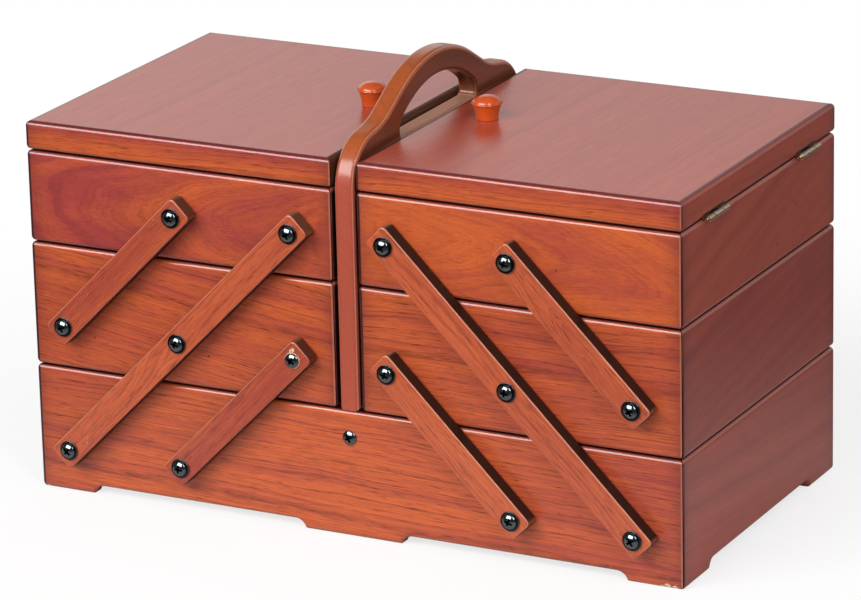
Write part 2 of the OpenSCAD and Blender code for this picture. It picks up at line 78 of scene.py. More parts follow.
# Turn of a board about Z that brings its outer face from the front to where it faces
TURNS = {"front": (1, 0), "right": (0, 1), "back": (-1, 0), "left": (0, -1)}
# Height on a wall up to which an arch still lifts its points
ARCH_REACH = 9 * MM
# Last stretch of a board before its corner
LAST_STRETCH = 16 * MM
# Flat run beside a rounding, which an arch lifts with it
EDGE_RUN = 0.4 * MM
# Play of a bottom in its groove, and of a screw in a link's bore
GROOVE_PLAY = 0.2 * MM
BORE_PLAY = 0.1 * MM
# How far a hinge's leaf stands out of the wood
PROUD = 0.06 * MM
# How far a screw's shank reaches into its head
SHANK_IN_HEAD = 0.4 * MM


def linear(hex_colour):
    """An sRGB hex colour as linear red, green, blue and full alpha."""
    c = np.array([int(hex_colour[i : i + 2], 16) / 255 for i in (1, 3, 5)])
    c = np.where(c <= 0.04045, c / 12.92, ((c + 0.055) / 1.055) ** 2.4)
    return (*c.tolist(), 1.0)


def length(name, description, millimetres, least, most):
    """A size in metres, given in millimetres with its least and greatest value."""
    return FloatProperty(
        name=name, description=description, default=millimetres * MM,
        min=least * MM, max=most * MM, precision=5, unit="LENGTH",
    )


def tint(name, description, hex_colour):
    """A colour setting, given as sRGB hex."""
    return FloatVectorProperty(
        name=name, description=description, default=linear(hex_colour)[:3],
        size=3, min=0.0, max=1.0, subtype="COLOR",
    )


def power(name, description, watts):
    """The power of a light, in watts."""
    return FloatProperty(name=name, description=description, default=watts, min=0, subtype="POWER")


class BoardSizes(bpy.types.PropertyGroup):
    """Sizes of the boards of the base, the trays and the lids"""

    wall: length("Wall", "Thickness of the wall boards", 9, 6, 14)
    outer_round: length("Outer rounding", "Rounding along the outer long edges", 3, 0.5, 4)
    inner_round: length("Inner rounding", "Rounding along the edges at the openings", 1, 0.3, 2)
    corner_round: length("Corner rounding", "Rounding of the upright corners", 1.5, 0.3, 3)
    groove_depth: length("Groove depth", "Depth of the grooves that hold the bottoms", 4, 2, 6)
    panel_lip: length("Panel lip", "Width of the lip of the lid's rails round its panel", 3.5, 3.2, 6)
    arch_height: length("Arch height", "Height of the arches between the feet", 5.2, 1, 5.4)
    arch_round: length("Arch rounding", "Radius at the ends of the arches", 8, 5.5, 14)
    corner_foot: length("Corner foot", "Length of a corner foot", 34.5, 20, 60)
    middle_foot: length("Middle foot", "Length of the middle feet", 61, 30, 100)


class HandleSizes(bpy.types.PropertyGroup):
    """Sizes of the handle board and its grip"""

    edge_round: length("Edge rounding", "Rounding of the handle's edges", 3, 0.5, 5)
    crown_round: length("Crown radius", "Radius of the grip's crown", 90, 60, 140)
    sweep_round: length("Sweep radius", "Radius of the hollow below the slope", 50, 20, 80)
    shoulder: length("Shoulder", "Length of the shoulder", 8, 2, 16)
    nose_round: length("Nose radius", "Radius of the nose at each end", 29.5, 15, 40)
    grip: length("Grip", "Height of the grip at its crown", 15, 10, 24)
    hand_hole: length("Hand hole", "Length of the hand hole", 96, 70, 110)
    hand_drop: length("Hand hole drop", "Depth of the hand hole's floor below the lids", 2, 0, 10)
    hand_corner: length("Hand hole corners", "Radius at the hand hole's upper corners", 8, 4, 12)
    hand_floor: length("Hand hole floor", "Radius at the hand hole's lower corners", 3, 1, 5)


class LinkSizes(bpy.types.PropertyGroup):
    """Sizes of the wooden links"""

    width: length("Width", "Width of a link", 17, 10, 24)
    end: length("End", "Length of a link past its end pivots", 9, 6, 14)
    corner: length("Corner rounding", "Rounding of a link's corners", 3, 0.5, 5)
    eased: length("Eased edge", "Rounding along the edges of a link's faces", 0.9, 0.1, 2)


class ScrewSizes(bpy.types.PropertyGroup):
    """Sizes of the pan-head screws and their washers"""

    shank: length("Shank", "Diameter of a pivot screw", 4, 2, 6)
    bite: length("Bite", "Depth of a pivot screw in its wall", 7, 4, 9)
    head: length("Head", "Diameter of a screw head", 8.8, 5, 11)
    head_height: length("Head height", "Height of a screw head", 2.6, 1.5, 4)
    head_rim: length("Head rim", "Height of the straight rim of a head", 0.8, 0.3, 1.5)
    recess: length("Recess", "Length of the cross recess", 5.4, 2, 6)
    recess_width: length("Recess width", "Width of an arm of the cross recess", 1.2, 0.5, 2)
    washer: length("Washer", "Diameter of a washer", 11.8, 9, 15)
    washer_thick: length("Washer thickness", "Thickness of a washer", 1, 0.4, 2)
    washer_gap: length("Washer gap", "Gap between a washer and the link under it", 0.2, 0.05, 1)


class HingeSizes(bpy.types.PropertyGroup):
    """Sizes of the butt hinges of the lids"""

    long: length("Length", "Length of a hinge", 27.4, 15, 50)
    place: length("Place", "Distance of a hinge from the middle of the lid", 65, 30, 90)
    knuckle: length("Knuckle", "Diameter of the knuckles", 3.6, 2, 6)
    middle: length("Middle knuckle", "Length of the lid's knuckle", 10, 6, 20)
    gap: length("Knuckle gap", "Gap between the knuckles", 1.3, 0.1, 2)
    leaf: length("Leaf", "Thickness of a leaf", 0.9, 0.4, 1.5)
    leaf_width: length("Leaf width", "Width of a leaf on the wood", 7, 4, 9)
    screw_place: length("Screw place", "Distance of the leaf screws from the hinge's middle", 9, 5, 13)
    screw_head: length("Screw head", "Diameter of a leaf screw's head", 3.8, 2, 5)


class KnobSizes(bpy.types.PropertyGroup):
    """Sizes of the turned knobs"""

    foot: length("Foot", "Diameter of a knob's foot", 13.1, 8, 20)
    rim: length("Rim", "Diameter of a knob's rim", 18.2, 12, 26)
    rim_height: length("Rim height", "Height of a knob's rim", 1.4, 0.5, 3)
    dome: length("Dome", "Height of the cap on a knob above the middle of its rim", 4.6, 1, 6)


class Finishes(bpy.types.PropertyGroup):
    """Colours of the stains, lacquers and metals, and of the painted shade and highlights"""

    orange_stain: tint("Orange stain", "Fronts where the stain took up least", "#D0602C")
    red_stain: tint("Red stain", "Fronts where the stain took up most", "#A23B38")
    late_wood: tint("Latewood", "Stained wood on the dark side of a growth ring", "#74291C")
    lid_stain: tint("Lid stain", "Lids and ends where the stain took up least", "#C8563A")
    lid_red: tint("Dark lid stain", "Lids and ends where the stain took up most", "#9A3426")
    link_stain: tint("Link stain", "Links where the stain took up least", "#CE6438")
    link_red: tint("Dark link stain", "Links where the stain took up most", "#A03E2E")
    # Also painted as shade in the hand hole and on the lid rail beside the handle, and the colour of the nail
    # heads
    sawn_stain: tint("Sawn edges", "Dark stain on the sawn narrow sides of the links", "#2A140C")
    end_grain: tint("End grain", "Stained end grain of the links", "#9A6A44")
    handle_stain: tint("Handle stain", "Browner stain on the grip", "#B05628")
    handle_red: tint("Handle red stain", "Red stain on the lower handle board", "#B04E3A")
    pooled_stain: tint("Pooled stain", "Stain that has gathered towards the ends of a board", "#5A1E22")
    # Painted shade: near black in the joints and gaps between parts, in the hinge notches and at the darker
    # upright corners
    joint_stain: tint("Joint stain", "Stain that has run into the joints between the boards", "#1C0806")
    # Painted highlight: the pale colour laid along some upright corners and rounded edges of the boards, links
    # and handle
    rubbed_stain: tint("Rubbed stain", "Stain that sanding has thinned along the sharp edges", "#E8A284")
    bare_wood: tint("Bare wood", "Pale wood where the lacquer has chipped", "#E8C8A4")
    orange_lacquer: tint("Orange lacquer", "Lacquer on the knobs", "#D65A20")
    plywood: tint("Plywood", "Face veneer of the bottoms", "#C99F6E")
    black_plate: tint("Black plating", "Plating of the pan-head screws", "#7E868A")
    brass: tint("Brass", "Aged brass of the hinges", "#FFE6C6")


class StudioSettings(bpy.types.PropertyGroup):
    """Light of the studio"""

    key: power("Key light", "Power of the large softbox at the front", 46.0)
    strip: power("Strip light", "Power of the narrow softbox at the right", 13.0)
    rear: power("Rear light", "Power of the weak softbox behind the object", 16.0)
    fill: FloatProperty(
        name="Fill", description="Strength of the room's light on the object", default=0.26, min=0
    )
    backdrop: FloatProperty(
        name="Backdrop", description="Brightness of the backdrop in reflections", default=0.78, min=0
    )


class SewingBoxSettings(bpy.types.PropertyGroup):
    """All settings of the sewing box"""

    boards: PointerProperty(type=BoardSizes)
    handle: PointerProperty(type=HandleSizes)
    links: PointerProperty(type=LinkSizes)
    screws: PointerProperty(type=ScrewSizes)
    hinges: PointerProperty(type=HingeSizes)
    knobs: PointerProperty(type=KnobSizes)
    finishes: PointerProperty(type=Finishes)
    studio: PointerProperty(type=StudioSettings)


def settings():
    return bpy.context.scene.sewing_box


def box_half_depth():
    """Distance of the outer faces of the front and the back from the middle of the box."""
    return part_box("base_back_panel")[1].y


# ---------------------------------------------------------------- surfaces


def arc(centre, radius, start, end, steps):
    """Points of an arc: the centre plus radius times (cos, sin) of even steps from start to end degrees."""
    turn = np.radians(np.linspace(start, end, steps + 1))
    return np.column_stack((centre[0] + radius * np.cos(turn), centre[1] + radius * np.sin(turn)))


def rectangle(x0, y0, x1, y1):
    """The four corners of a rectangle, anticlockwise."""
    return np.array([(x0, y0), (x1, y0), (x1, y1), (x0, y1)])


def turned(r, level, angle):
    """Points (r cos a, r sin a, level), with a row for each radius r and a column for each angle a."""
    x, y = r[:, None] * np.cos(angle), r[:, None] * np.sin(angle)
    return np.stack((x, y, np.broadcast_to(level, x.shape)), axis=-1)


def grid_faces(rows, columns, wrap_rows=False, wrap_columns=True, first=0):
    """Quads of a grid of points numbered row by row: point (i, j) joins (i+1, j), (i+1, j+1) and (i, j+1),
    and the last column or row joins the first where it wraps."""
    steps = rows if wrap_rows else rows - 1, columns if wrap_columns else columns - 1
    i, j = np.meshgrid(*map(np.arange, steps), indexing="ij")
    i, j = i.ravel(), j.ravel()
    k, m = (i + 1) % rows, (j + 1) % columns
    quads = np.column_stack((i * columns + j, k * columns + j, k * columns + m, i * columns + m))
    return (quads + first).tolist()


def bar_faces(rows, columns):
    """Quads of a grid whose rows are closed rings, and a face over each end."""
    last = (rows - 1) * columns
    return grid_faces(rows, columns) + [list(range(columns)), list(range(last, last + columns))[::-1]]


def joined(parts):
    """Several shapes as one: points, faces renumbered, and any layers of values that follow them."""
    points, faces, *layers = zip(*parts)
    starts = np.cumsum([0, *map(len, points)]).tolist()
    faces = [[v + start for v in face] for start, shape in zip(starts, faces) for face in shape]
    return np.concatenate(points), faces, *map(np.concatenate, layers)


def lathe(profile, segments=64):
    """A turned shape about the third axis: (r cos a, r sin a, c) over the profile's points (r, c) and even
    angles a. The profile runs from the axis over the top and back to the axis below, and closes on itself
    where it doesn't start there."""
    r, c = np.asarray(profile, float).T
    on_axis = r[0] < 1e-9
    inner = slice(1, -1) if on_axis else slice(None)
    rings = len(r[inner])
    turn = np.linspace(0, 2 * np.pi, segments, endpoint=False)
    points = turned(r[inner], c[inner, None], turn).reshape(-1, 3)
    faces = grid_faces(rings, segments, wrap_rows=not on_axis)
    if on_axis:
        top, last = len(points), (rings - 1) * segments
        points = np.concatenate((points, [[0, 0, c[0]], [0, 0, c[-1]]]))
        j = np.arange(segments)
        after = (j + 1) % segments
        faces += np.column_stack((np.full(segments, top), j, after)).tolist()
        faces += np.column_stack((last + after, last + j, np.full(segments, top + 1))).tolist()
    return points, faces


def outward(ring):
    """At each point of a closed line that runs anticlockwise round the material, the direction out of the
    material, stretched so that a parallel line keeps its distance at corners."""
    ahead = np.roll(ring, -1, 0) - ring
    ahead /= np.linalg.norm(ahead, axis=1, keepdims=True)
    right = np.column_stack((ahead[:, 1], -ahead[:, 0]))
    mean = right + np.roll(right, 1, 0)
    mean /= np.linalg.norm(mean, axis=1, keepdims=True)
    return mean / np.sum(mean * right, axis=1, keepdims=True)


def plate(rings, low, high, eased, steps=5):
    """A flat plate between low and high on the third axis. rings[0] is its outline, anticlockwise, and the
    others are its holes, clockwise. Each edge is a quarter circle: at angle t the outline is drawn in by
    e (1 - cos t) and lies e (1 - sin t) inside the face, with e the ring's own eased radius."""
    points, faces, count = [], [], 0
    flats = {low: [], high: []}
    t = np.linspace(0, np.pi / 2, steps + 1)
    for ring, e in zip(rings, eased):
        inset, depth = e * (1 - np.cos(t)), e * (1 - np.sin(t))
        inset = np.concatenate((inset[::-1], inset))
        level = np.concatenate((low + depth[::-1], high - depth))
        flat = ring[:, None, :] - outward(ring)[:, None, :] * inset[None, :, None]
        c = np.broadcast_to(level[None, :, None], (*flat.shape[:2], 1))
        points.append(np.concatenate((flat, c), axis=2).reshape(-1, 3))
        faces += grid_faces(len(ring), len(level), wrap_rows=True, wrap_columns=False, first=count)
        numbers = count + np.arange(len(ring)) * len(level)
        flats[low].append(numbers)
        flats[high].append(numbers + len(level) - 1)
        count += len(ring) * len(level)
    points = np.concatenate(points)
    for level, numbers in flats.items():
        triangles = tessellate_polygon([[Vector((*points[n, :2], 0)) for n in ring] for ring in numbers])
        index = np.concatenate(numbers)[np.array(triangles)]
        a, b, c = (points[index[:, k], :2] for k in range(3))
        area = (b[:, 0] - a[:, 0]) * (c[:, 1] - a[:, 1]) - (b[:, 1] - a[:, 1]) * (c[:, 0] - a[:, 0])
        flip = (area > 0) != (level == high)
        index[flip] = index[flip][:, ::-1]
        faces += index.tolist()
    return points, faces


def stations_along(end, arches, extra):
    """Places along a board's straight middle: its ends, extra ones, and a row round each end of an arch."""
    sizes = settings().boards
    base = math.asin((sizes.arch_round - sizes.arch_height) / sizes.arch_round)
    turn = base + (np.pi / 2 - base) * np.radians(np.linspace(0, 90, 9)) / (np.pi / 2)
    rise = sizes.arch_round * (1 - np.cos(turn))
    plain = [0.0, *extra]
    for start, stop in arches:
        plain += [start - MM / 100, *(start + rise), *(stop - rise), stop + MM / 100]
    return np.array(sorted({round(float(x), 6) for x in (*plain, -end, end)}))


def board_points(low, high, facing, section, arches=(), extra=()):
    """A mitred board round the outside of a box. Its section (depth d, height z) is carried along its length
    x. Near an end the path turns a quarter-corner: a point at depth d runs on an arc of radius max(r - d, 0)
    about the corner's centre, up to the 45 degree mitre. Over an arch the lower edge is lifted by the arch's
    height, fading out below the groove. Extra stations along the path may be asked for."""
    sizes = settings().boards
    along = 0 if facing in FACES else 1
    half = (high[along] - low[along]) / 2
    end = half - LAST_STRETCH
    d, z = section.T
    reach, bend = np.maximum(sizes.corner_round, d), np.maximum(sizes.corner_round - d, 0)
    # Stations: plain ones in the middle, shares of the last stretch, then the turn
    plain = stations_along(end, arches, extra)
    share = np.array([0.25, 0.5, 0.72, 0.86, 0.95, 1.0])[:, None]
    turns = np.radians([15, 30, 45])[:, None]
    out = end + share * (half - reach - end)[None, :]
    turn_x, turn_y = half - reach + bend * np.sin(turns), reach - bend * np.cos(turns)
    x = np.concatenate((-turn_x[::-1], -out[::-1], np.repeat(plain[:, None], len(d), 1), out, turn_x))
    flat_d = np.repeat(d[None, :], len(plain) + 2 * len(share), 0)
    depth = np.concatenate((turn_y[::-1], flat_d, turn_y))
    height = np.repeat(z[None, :], len(x), 0)
    lift = np.zeros_like(x)
    for start, stop in arches:
        inside = np.minimum(x - start, stop - x)
        run = np.clip(sizes.arch_round - inside, 0, sizes.arch_round)
        rise = np.sqrt(sizes.arch_round**2 - run**2) - sizes.arch_round + sizes.arch_height
        lift = np.maximum(lift, np.where(inside > 0, np.clip(rise, 0, sizes.arch_height), 0))
    fixed = sizes.outer_round + EDGE_RUN
    height = height + lift * np.clip((ARCH_REACH - height) / (ARCH_REACH - fixed), 0, 1)
    local = np.stack((x, depth, height), axis=-1).reshape(-1, 3)
    x, depth, height = local.T
    c, s = TURNS[facing]
    centre = (low + high) / 2
    face = {"front": low[1], "back": high[1], "left": low[0], "right": high[0]}[facing]
    origin = (centre[0], face) if along == 0 else (face, centre[1])
    place = np.column_stack((origin[0] + c * x - s * depth, origin[1] + s * x + c * depth, low[2] + height))
    return place, bar_faces(len(lift), len(d)), local, (high[2] - low[2], half)


def wall_section(height, groove_z, groove_t):
    """Section of a wall board as (depth, height): roundings joined by straight runs, with a groove for the
    bottom on the inside."""
    b = settings().boards
    r, q, t = b.outer_round, b.inner_round, b.wall
    rise = [r + EDGE_RUN, ARCH_REACH, LAST_STRETCH]
    floor, ceiling, depth = groove_z, groove_z + groove_t, t - b.groove_depth
    return np.concatenate(
        (
            arc((r, r), r, 270, 180, 8),
            [(0, z) for z in (*rise, height / 2, *(height - v for v in rise[::-1]))],
            arc((r, height - r), r, 180, 90, 8),
            arc((t - q, height - q), q, 90, 0, 4),
            [(t, ceiling), (depth, ceiling), (depth, floor), (t, floor), (t, 0)],
        )
    )


def rail_section(height, panel_t):
    """Section of a lid's rail as (depth, height): the same roundings, with a rebate for the panel under the
    upper inner edge."""
    b = settings().boards
    r, q, t = b.outer_round, b.inner_round, b.wall
    return np.concatenate(
        (
            arc((r, r), r, 270, 180, 8),
            [(0, r + EDGE_RUN), (0, height / 2), (0, height - r - EDGE_RUN)],
            arc((r, height - r), r, 180, 90, 8),
            [(b.panel_lip, height), (b.panel_lip, height - panel_t), (t, height - panel_t)],
            arc((t - q, q), q, 0, -90, 4),
        )
    )


def on_face(points, face, at=(0, 0), seat=0):
    """A shape drawn as (to the right, up, out of the wall) seen from outside, set on the front or the back at
    the place (x, z) and this far out."""
    turn = 1 if face == "front" else -1
    a, b, c = (points + (turn * at[0], at[1], seat)).T
    return np.column_stack((turn * a, -turn * c, b))


def log_coordinates(along, up, inward, cut):
    """Where each point of a board lay in the log, in millimetres: along the fibres, and across them from the
    pith. cut is the pith's height and depth behind the face, its climb and its dive along the board, and a
    shift along the log."""
    height, depth, climb, dive, shift = cut
    x, z, d = (np.asarray(v) / MM for v in (along, up, inward))
    return np.column_stack((x + shift, z - height - climb * x, d + depth + dive * x))


def make_piece(name, shape, material, body, node, smooth=40, **layers):
    """Puts points and faces into a mesh, smooth but for edges sharper than smooth degrees, with layers of
    values at its points, and sets it on its body in the place of a CAD node."""
    points, faces = shape
    mesh = bpy.data.meshes.new(name)
    mesh.from_pydata(points.tolist(), [], faces)
    for layer, values in layers.items():
        values = np.asarray(values, np.float32)
        kind, field = ("FLOAT_VECTOR", "vector") if values.ndim == 2 else ("FLOAT", "value")
        mesh.attributes.new(layer, kind, "POINT").data.foreach_set(field, values.ravel())
    mesh.polygons.foreach_set("use_smooth", np.ones(len(faces), bool))
    mesh.set_sharp_from_angle(angle=math.radians(smooth))
    mesh.update()
    mesh.validate()
    piece = bpy.data.objects.new(name, mesh)
    piece.data.materials.append(material)
    bpy.context.scene.collection.objects.link(piece)
    piece.modifiers.new("even_shading", "WEIGHTED_NORMAL").keep_sharp = True
    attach(piece, body)
    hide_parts(node)
    return piece


def bare_faces(piece, chosen):
    """Leaves some faces of a piece without lacquer: those that chosen picks by their normals and centres."""
    rows = {"normal": None, "center": None}
    for key in rows:
        rows[key] = np.empty(3 * len(piece.data.polygons), np.float32)
        piece.data.polygons.foreach_get(key, rows[key])
    piece.data.materials.append(dark_sawn_pine())
    picked = chosen(*(v.reshape(-1, 3) for v in rows.values()))
    piece.data.polygons.foreach_set("material_index", picked.astype(np.int32))


def finish_node(name, material):
    """Gives a CAD node that stays in view its material."""
    node = frame["nodes"][name]
    if not node.material_slots:
        node.data.materials.append(material)
    for held in node.material_slots:
        held.material = material


# --------------------------------------------------------------- materials


def add(tree, kind, *values, out=None, **choices):
    """Adds a node and returns one of its outputs, the first in use if none is named, or the node itself if it
    has none. A second word in kind is the node's operation or its kind of data, choices are its other
    settings, and values fill the sockets in use in order, or by name if they come as a dictionary."""
    kind, _, mode = kind.partition(" ")
    node = tree.nodes.new("ShaderNode" + kind)
    if mode:
        setattr(node, "operation" if hasattr(node, "operation") else "data_type", mode)
    for key, value in choices.items():
        setattr(node, key, value)
    named = values and isinstance(values[0], dict)
    pairs = values[0].items() if named else zip((s for s in node.inputs if s.enabled), values)
    for socket, value in pairs:
        socket = node.inputs[socket] if named else socket
        if isinstance(value, bpy.types.NodeSocket):
            tree.links.new(value, socket)
        else:
            socket.default_value = value
    outputs = [s for s in node.outputs if s.enabled]
    return node.outputs[out] if out else outputs[0] if outputs else node


def new_material(name):
    """An empty material, and the function that adds nodes to it."""
    material = bpy.data.materials.new(name)
    material.use_nodes = True
    material.node_tree.nodes.clear()
    return material, partial(add, material.node_tree)


def made_once(build):
    """Builds a material of the function's name when it is first asked for, and finds it after that."""
    return wraps(build)(lambda: bpy.data.materials.get(build.__name__) or build(build.__name__))


def toned(n, pattern, colour, low, high):
    """A colour that goes from colour times low to colour times high, channel by channel, with a pattern."""
    ends = ((*(min(c * v, 1) for c, v in zip(colour, tone)), 1) for tone in (low, high))
    return n("Mix RGBA", pattern, *ends)


def stained_wood(
    name, light, dark, late, ring=1.9, rings=0.34, fibres=0.4, clouds=0.9, pooled="pooled_stain", pooling=0.8,
    coat=1.0, coat_roughness=0.08, coat_ior=1.5, chips=(), nails=(),
):
    """Softwood boards, stained and sprayed with clear lacquer. The stain takes up unevenly, in bands that
    follow the growth rings, so orange runs into purple red, the dark side of each ring shows as a fine line,
    and the lacquer gives a soft clear gloss."""
    tones = {key: (*getattr(settings().finishes, key), 1) for key in Finishes.__annotations__}
    material, n = new_material(name)
    grain = n("Attribute", attribute_name="grain", out="Vector")
    stain, edge, rub, figure = (
        n("Attribute", attribute_name=layer, out="Fac") for layer in ("stain", "edge", "rub", "figure")
    )

    def pattern(along, across, detail=2.0, rough=0.5):
        # A pattern whose unit is this many millimetres along and across the fibres
        place = n("VectorMath MULTIPLY", grain, (1 / along, 1 / across, 1 / across))
        return n("TexNoise", place, 1.0, detail, rough)

    # Growth rings: the distance from the pith, made uneven, and a ring every few millimetres
    radius = n("VectorMath LENGTH", n("VectorMath MULTIPLY", grain, (0, 1, 1)))
    radius = n("Math MULTIPLY_ADD", pattern(120, 26, 1.5), 11.0, radius)
    radius = n("Math MULTIPLY_ADD", pattern(26, 4), 1.0, radius)
    # Wide and narrow years take turns: the spacing drifts over about 8 mm
    drift = n("TexNoise", n("Math MULTIPLY", radius, 0.13), 1.0, 2.0, noise_dimensions="1D")
    line = n("ValToRGB", n("Math FRACT", n("Math MULTIPLY_ADD", drift, 7.0, n("Math DIVIDE", radius, ring))))
    ramp = line.node.color_ramp
    ramp.interpolation = "EASE"
    ramp.elements[0].color = ramp.elements[1].color = (0.05, 0.05, 0.05, 1)
    for place, value in ((0.5, 0.12), (0.84, 0.95), (0.92, 1.0)):
        ramp.elements.new(place).color = (value, value, value, 1)
    years = n("TexNoise", n("Math MULTIPLY", radius, 0.11), 1.0, 2.5, noise_dimensions="1D")
    fibre, broken, cloud = pattern(20, 0.75, 3.5, 0.72), pattern(16, 2.2, 1.5), pattern(95, 17, 2.5, 0.55)
    # A board cut near the pith shows its figure, and one cut farther out shows close lines
    uneven = []
    for noise, at_pith, least in ((years, 2.3, 0.25), (cloud, 0.7, 0.75)):
        strength = n("Math MULTIPLY_ADD", figure, at_pith * clouds, least * clouds)
        uneven.append(n("Math MULTIPLY", n("Math SUBTRACT", noise, 0.5), strength))
    taken = n("Math ADD", n("Math ADD", *uneven), stain)
    taken = n("Math MULTIPLY_ADD", n("Math SUBTRACT", fibre, 0.5), fibres, taken, use_clamp=True)
    colour = n("Mix RGBA", taken, tones[light], tones[dark])
    drawn = n("Math MULTIPLY_ADD", broken, 2.6, -0.5, use_clamp=True)
    drawn = n("Math MULTIPLY", drawn, n("Math MULTIPLY_ADD", figure, -rings, 1.5 * rings))
    ringed = n("Math MULTIPLY", line, drawn)
    ringed = n("Math MULTIPLY_ADD", n("Math SUBTRACT", fibre, 0.42), 0.8 * fibres, ringed, use_clamp=True)
    # Resin canals: dark dashes 9 mm long, drawn about three times as wide as they are to show
    dashes = n("Math MULTIPLY_ADD", pattern(9, 0.9, 1.5), 7.0, -4.0, use_clamp=True)
    dashes = n("Math MULTIPLY", dashes, n("Math MULTIPLY_ADD", figure, -0.4 * fibres, 0.72 * fibres))
    ringed = n("Math ADD", ringed, dashes, use_clamp=True)
    colour = n("Mix RGBA", ringed, colour, tones[late])
    # Towards the ends and edges the colour turns to the pooled colour; in the handle and the dark sawn wood
    # that is painted shade
    colour = n("Mix RGBA", n("Math MULTIPLY", edge, pooling, use_clamp=True), colour, tones[pooled])
    # Where edge passes 1 the colour turns near black, as painted shade in joints, gaps and notches and at the
    # darker upright corners, and where the highlight layer is set a pale painted highlight is laid on
    colour = n("Mix RGBA", n("Math SUBTRACT", edge, 1.0, use_clamp=True), colour, tones["joint_stain"])
    # A pale painted highlight, broken up by the fibres
    thinned = n("Math MULTIPLY", rub, n("Math MULTIPLY_ADD", fibre, 1.0, 0.2), use_clamp=True)
    colour = n("Mix RGBA", thinned, colour, tones["rubbed_stain"])
    # Chips down to bare wood and nail heads: a place in metres, an inner and an outer radius in millimetres,
    # ragged by a pattern of 1 mm
    place = n("TexCoord", out="Object")
    ragged = n("Math SUBTRACT", n("TexNoise", place, 900.0, 2.0), 0.5)
    for marks, rough, tone in ((chips, 2.2, "bare_wood"), (nails, 0.3, "sawn_stain")):
        for *centre, inner, outer in marks:
            away = n("VectorMath DISTANCE", place, centre)
            away = n("Math MULTIPLY_ADD", ragged, rough * (outer - inner) * MM, away)
            inside = n("Math LESS_THAN", away, outer * MM)
            inside = n("Math MULTIPLY", inside, n("Math GREATER_THAN", away, inner * MM))
            colour = n("Mix RGBA", inside, colour, tones[tone])
    # Specks of dust under the lacquer, half a millimetre wide, drawn a little coarser to show
    specks = n("Math GREATER_THAN", n("TexNoise", place, 700.0, 1.0), 0.79)
    colour = n("Mix RGBA", n("Math MULTIPLY", specks, 0.35), colour, tones["bare_wood"])
    relief = n("Math MULTIPLY_ADD", ringed, 0.6, fibre)
    # The lacquer's own ripple is about 5 mm wide and a few microns high
    ripple = n("TexNoise", place, 200.0, 1.0)
    shader = n("BsdfPrincipled", {
        "Base Color": colour, "Roughness": n("Math MULTIPLY_ADD", fibre, 0.2, 0.33),
        "Normal": n("Bump", {"Height": relief, "Strength": 0.4, "Distance": 0.02 * MM}),
        "Coat Normal": n("Bump", {"Height": ripple, "Strength": 0.3, "Distance": 0.03 * MM}),
        "Coat Weight": coat, "Coat Roughness": coat_roughness, "Coat IOR": coat_ior,
        "Specular IOR Level": 0.3,
    })
    n("OutputMaterial", shader)
    return material


@made_once
def red_stained_pine(name):
    """Fronts and backs, planed, stained orange red and lacquered: a lively grain under a clear gloss."""
    return stained_wood(
        name, "orange_stain", "red_stain", "late_wood", rings=0.5, fibres=0.75,
        coat_roughness=0.09, coat_ior=1.6,
        chips=(
            (0.1965, -0.1085, 0.0005, -1, 1.3), (0.2, -0.1085, 0.0005, -1, 2.0),
            (0.2045, -0.1085, 0.0005, -1, 1.8), (-0.206, -0.1085, 0.0005, -1, 1.2),
        ),
        nails=(
            (-0.0919, -0.1085, 0.098, -1, 0.55), (-0.1687, -0.1085, 0.099, -1, 0.5),
            (0.1333, -0.1085, 0.1788, -1, 0.5),
        ),
    )


@made_once
def dark_stained_pine(name):
    """Ends and lids, stained darker and rubbed down after lacquering: quiet grain under a soft sheen."""
    return stained_wood(
        name, "lid_stain", "lid_red", "late_wood", ring=2.6, rings=0.22, fibres=0.26, clouds=0.34,
        coat_roughness=0.24,
        nails=(
            (0.21, 0.0498, 0.1826, -1, 0.7), (0.21, 0.0234, 0.1655, -1, 0.7),
            (-0.2052, 0.0325, 0.227, -1, 0.6),
        ),
    )


@made_once
def stained_pine_link(name):
    """Faces of the links, stained and lacquered one by one: strong fibres under a hard gloss, with the
    lacquer chipped round the screw that has no washer."""
    x, z = pivots("left")["lower"][1]
    return stained_wood(
        name, "link_stain", "link_red", "late_wood", ring=1.7, rings=0.34, fibres=0.85, coat_ior=1.6,
        chips=(
            (x + 0.0005, -0.1188, z + 0.0064, -1, 1.2), (x - 0.0012, -0.1188, z + 0.0058, -1, 0.8),
            (x, -0.1188, z, 4.3, 4.9),
        ),
    )


@made_once
def dark_sawn_pine(name):
    """The links' sawn sides: soaked with dark stain and left without lacquer, so they are dull."""
    # The same dark, dull wood stands as painted shade on the lid rails beside the handle and on the hand
    # hole's floor
    return stained_wood(
        name, "end_grain", "late_wood", "sawn_stain", fibres=0.5, clouds=0.3,
        pooled="sawn_stain", pooling=1.0, coat=0.0,
    )


@made_once
def brown_stained_pine(name):
    """The handle board, shaped, sanded round and stained brown: even colour under a worn, satin lacquer."""
    # Its dark stain also serves as painted shade in the hand hole
    return stained_wood(
        name, "handle_stain", "handle_red", "sawn_stain", ring=3.4, rings=0.2, fibres=0.3, clouds=0.35,
        pooled="sawn_stain", coat_roughness=0.2,
    )


@made_once
def orange_lacquered_beech(name):
    """Turned beech under orange lacquer: a deep glossy coat in which the turning lines just show."""
    material, n = new_material(name)
    # Beech flecks, 1 mm wide and 6 mm long
    fleck = n("TexNoise", n("VectorMath MULTIPLY", n("TexCoord", out="Object"), (900, 160, 900)), 1.0, 3.0)
    colour = toned(n, fleck, settings().finishes.orange_lacquer, (0.72, 0.55, 0.5), (1.15, 1.25, 1.3))
    n("OutputMaterial", n("BsdfPrincipled", {
        "Base Color": colour, "Roughness": 0.35, "Coat Weight": 1.0, "Coat Roughness": 0.06,
    }))
    return material


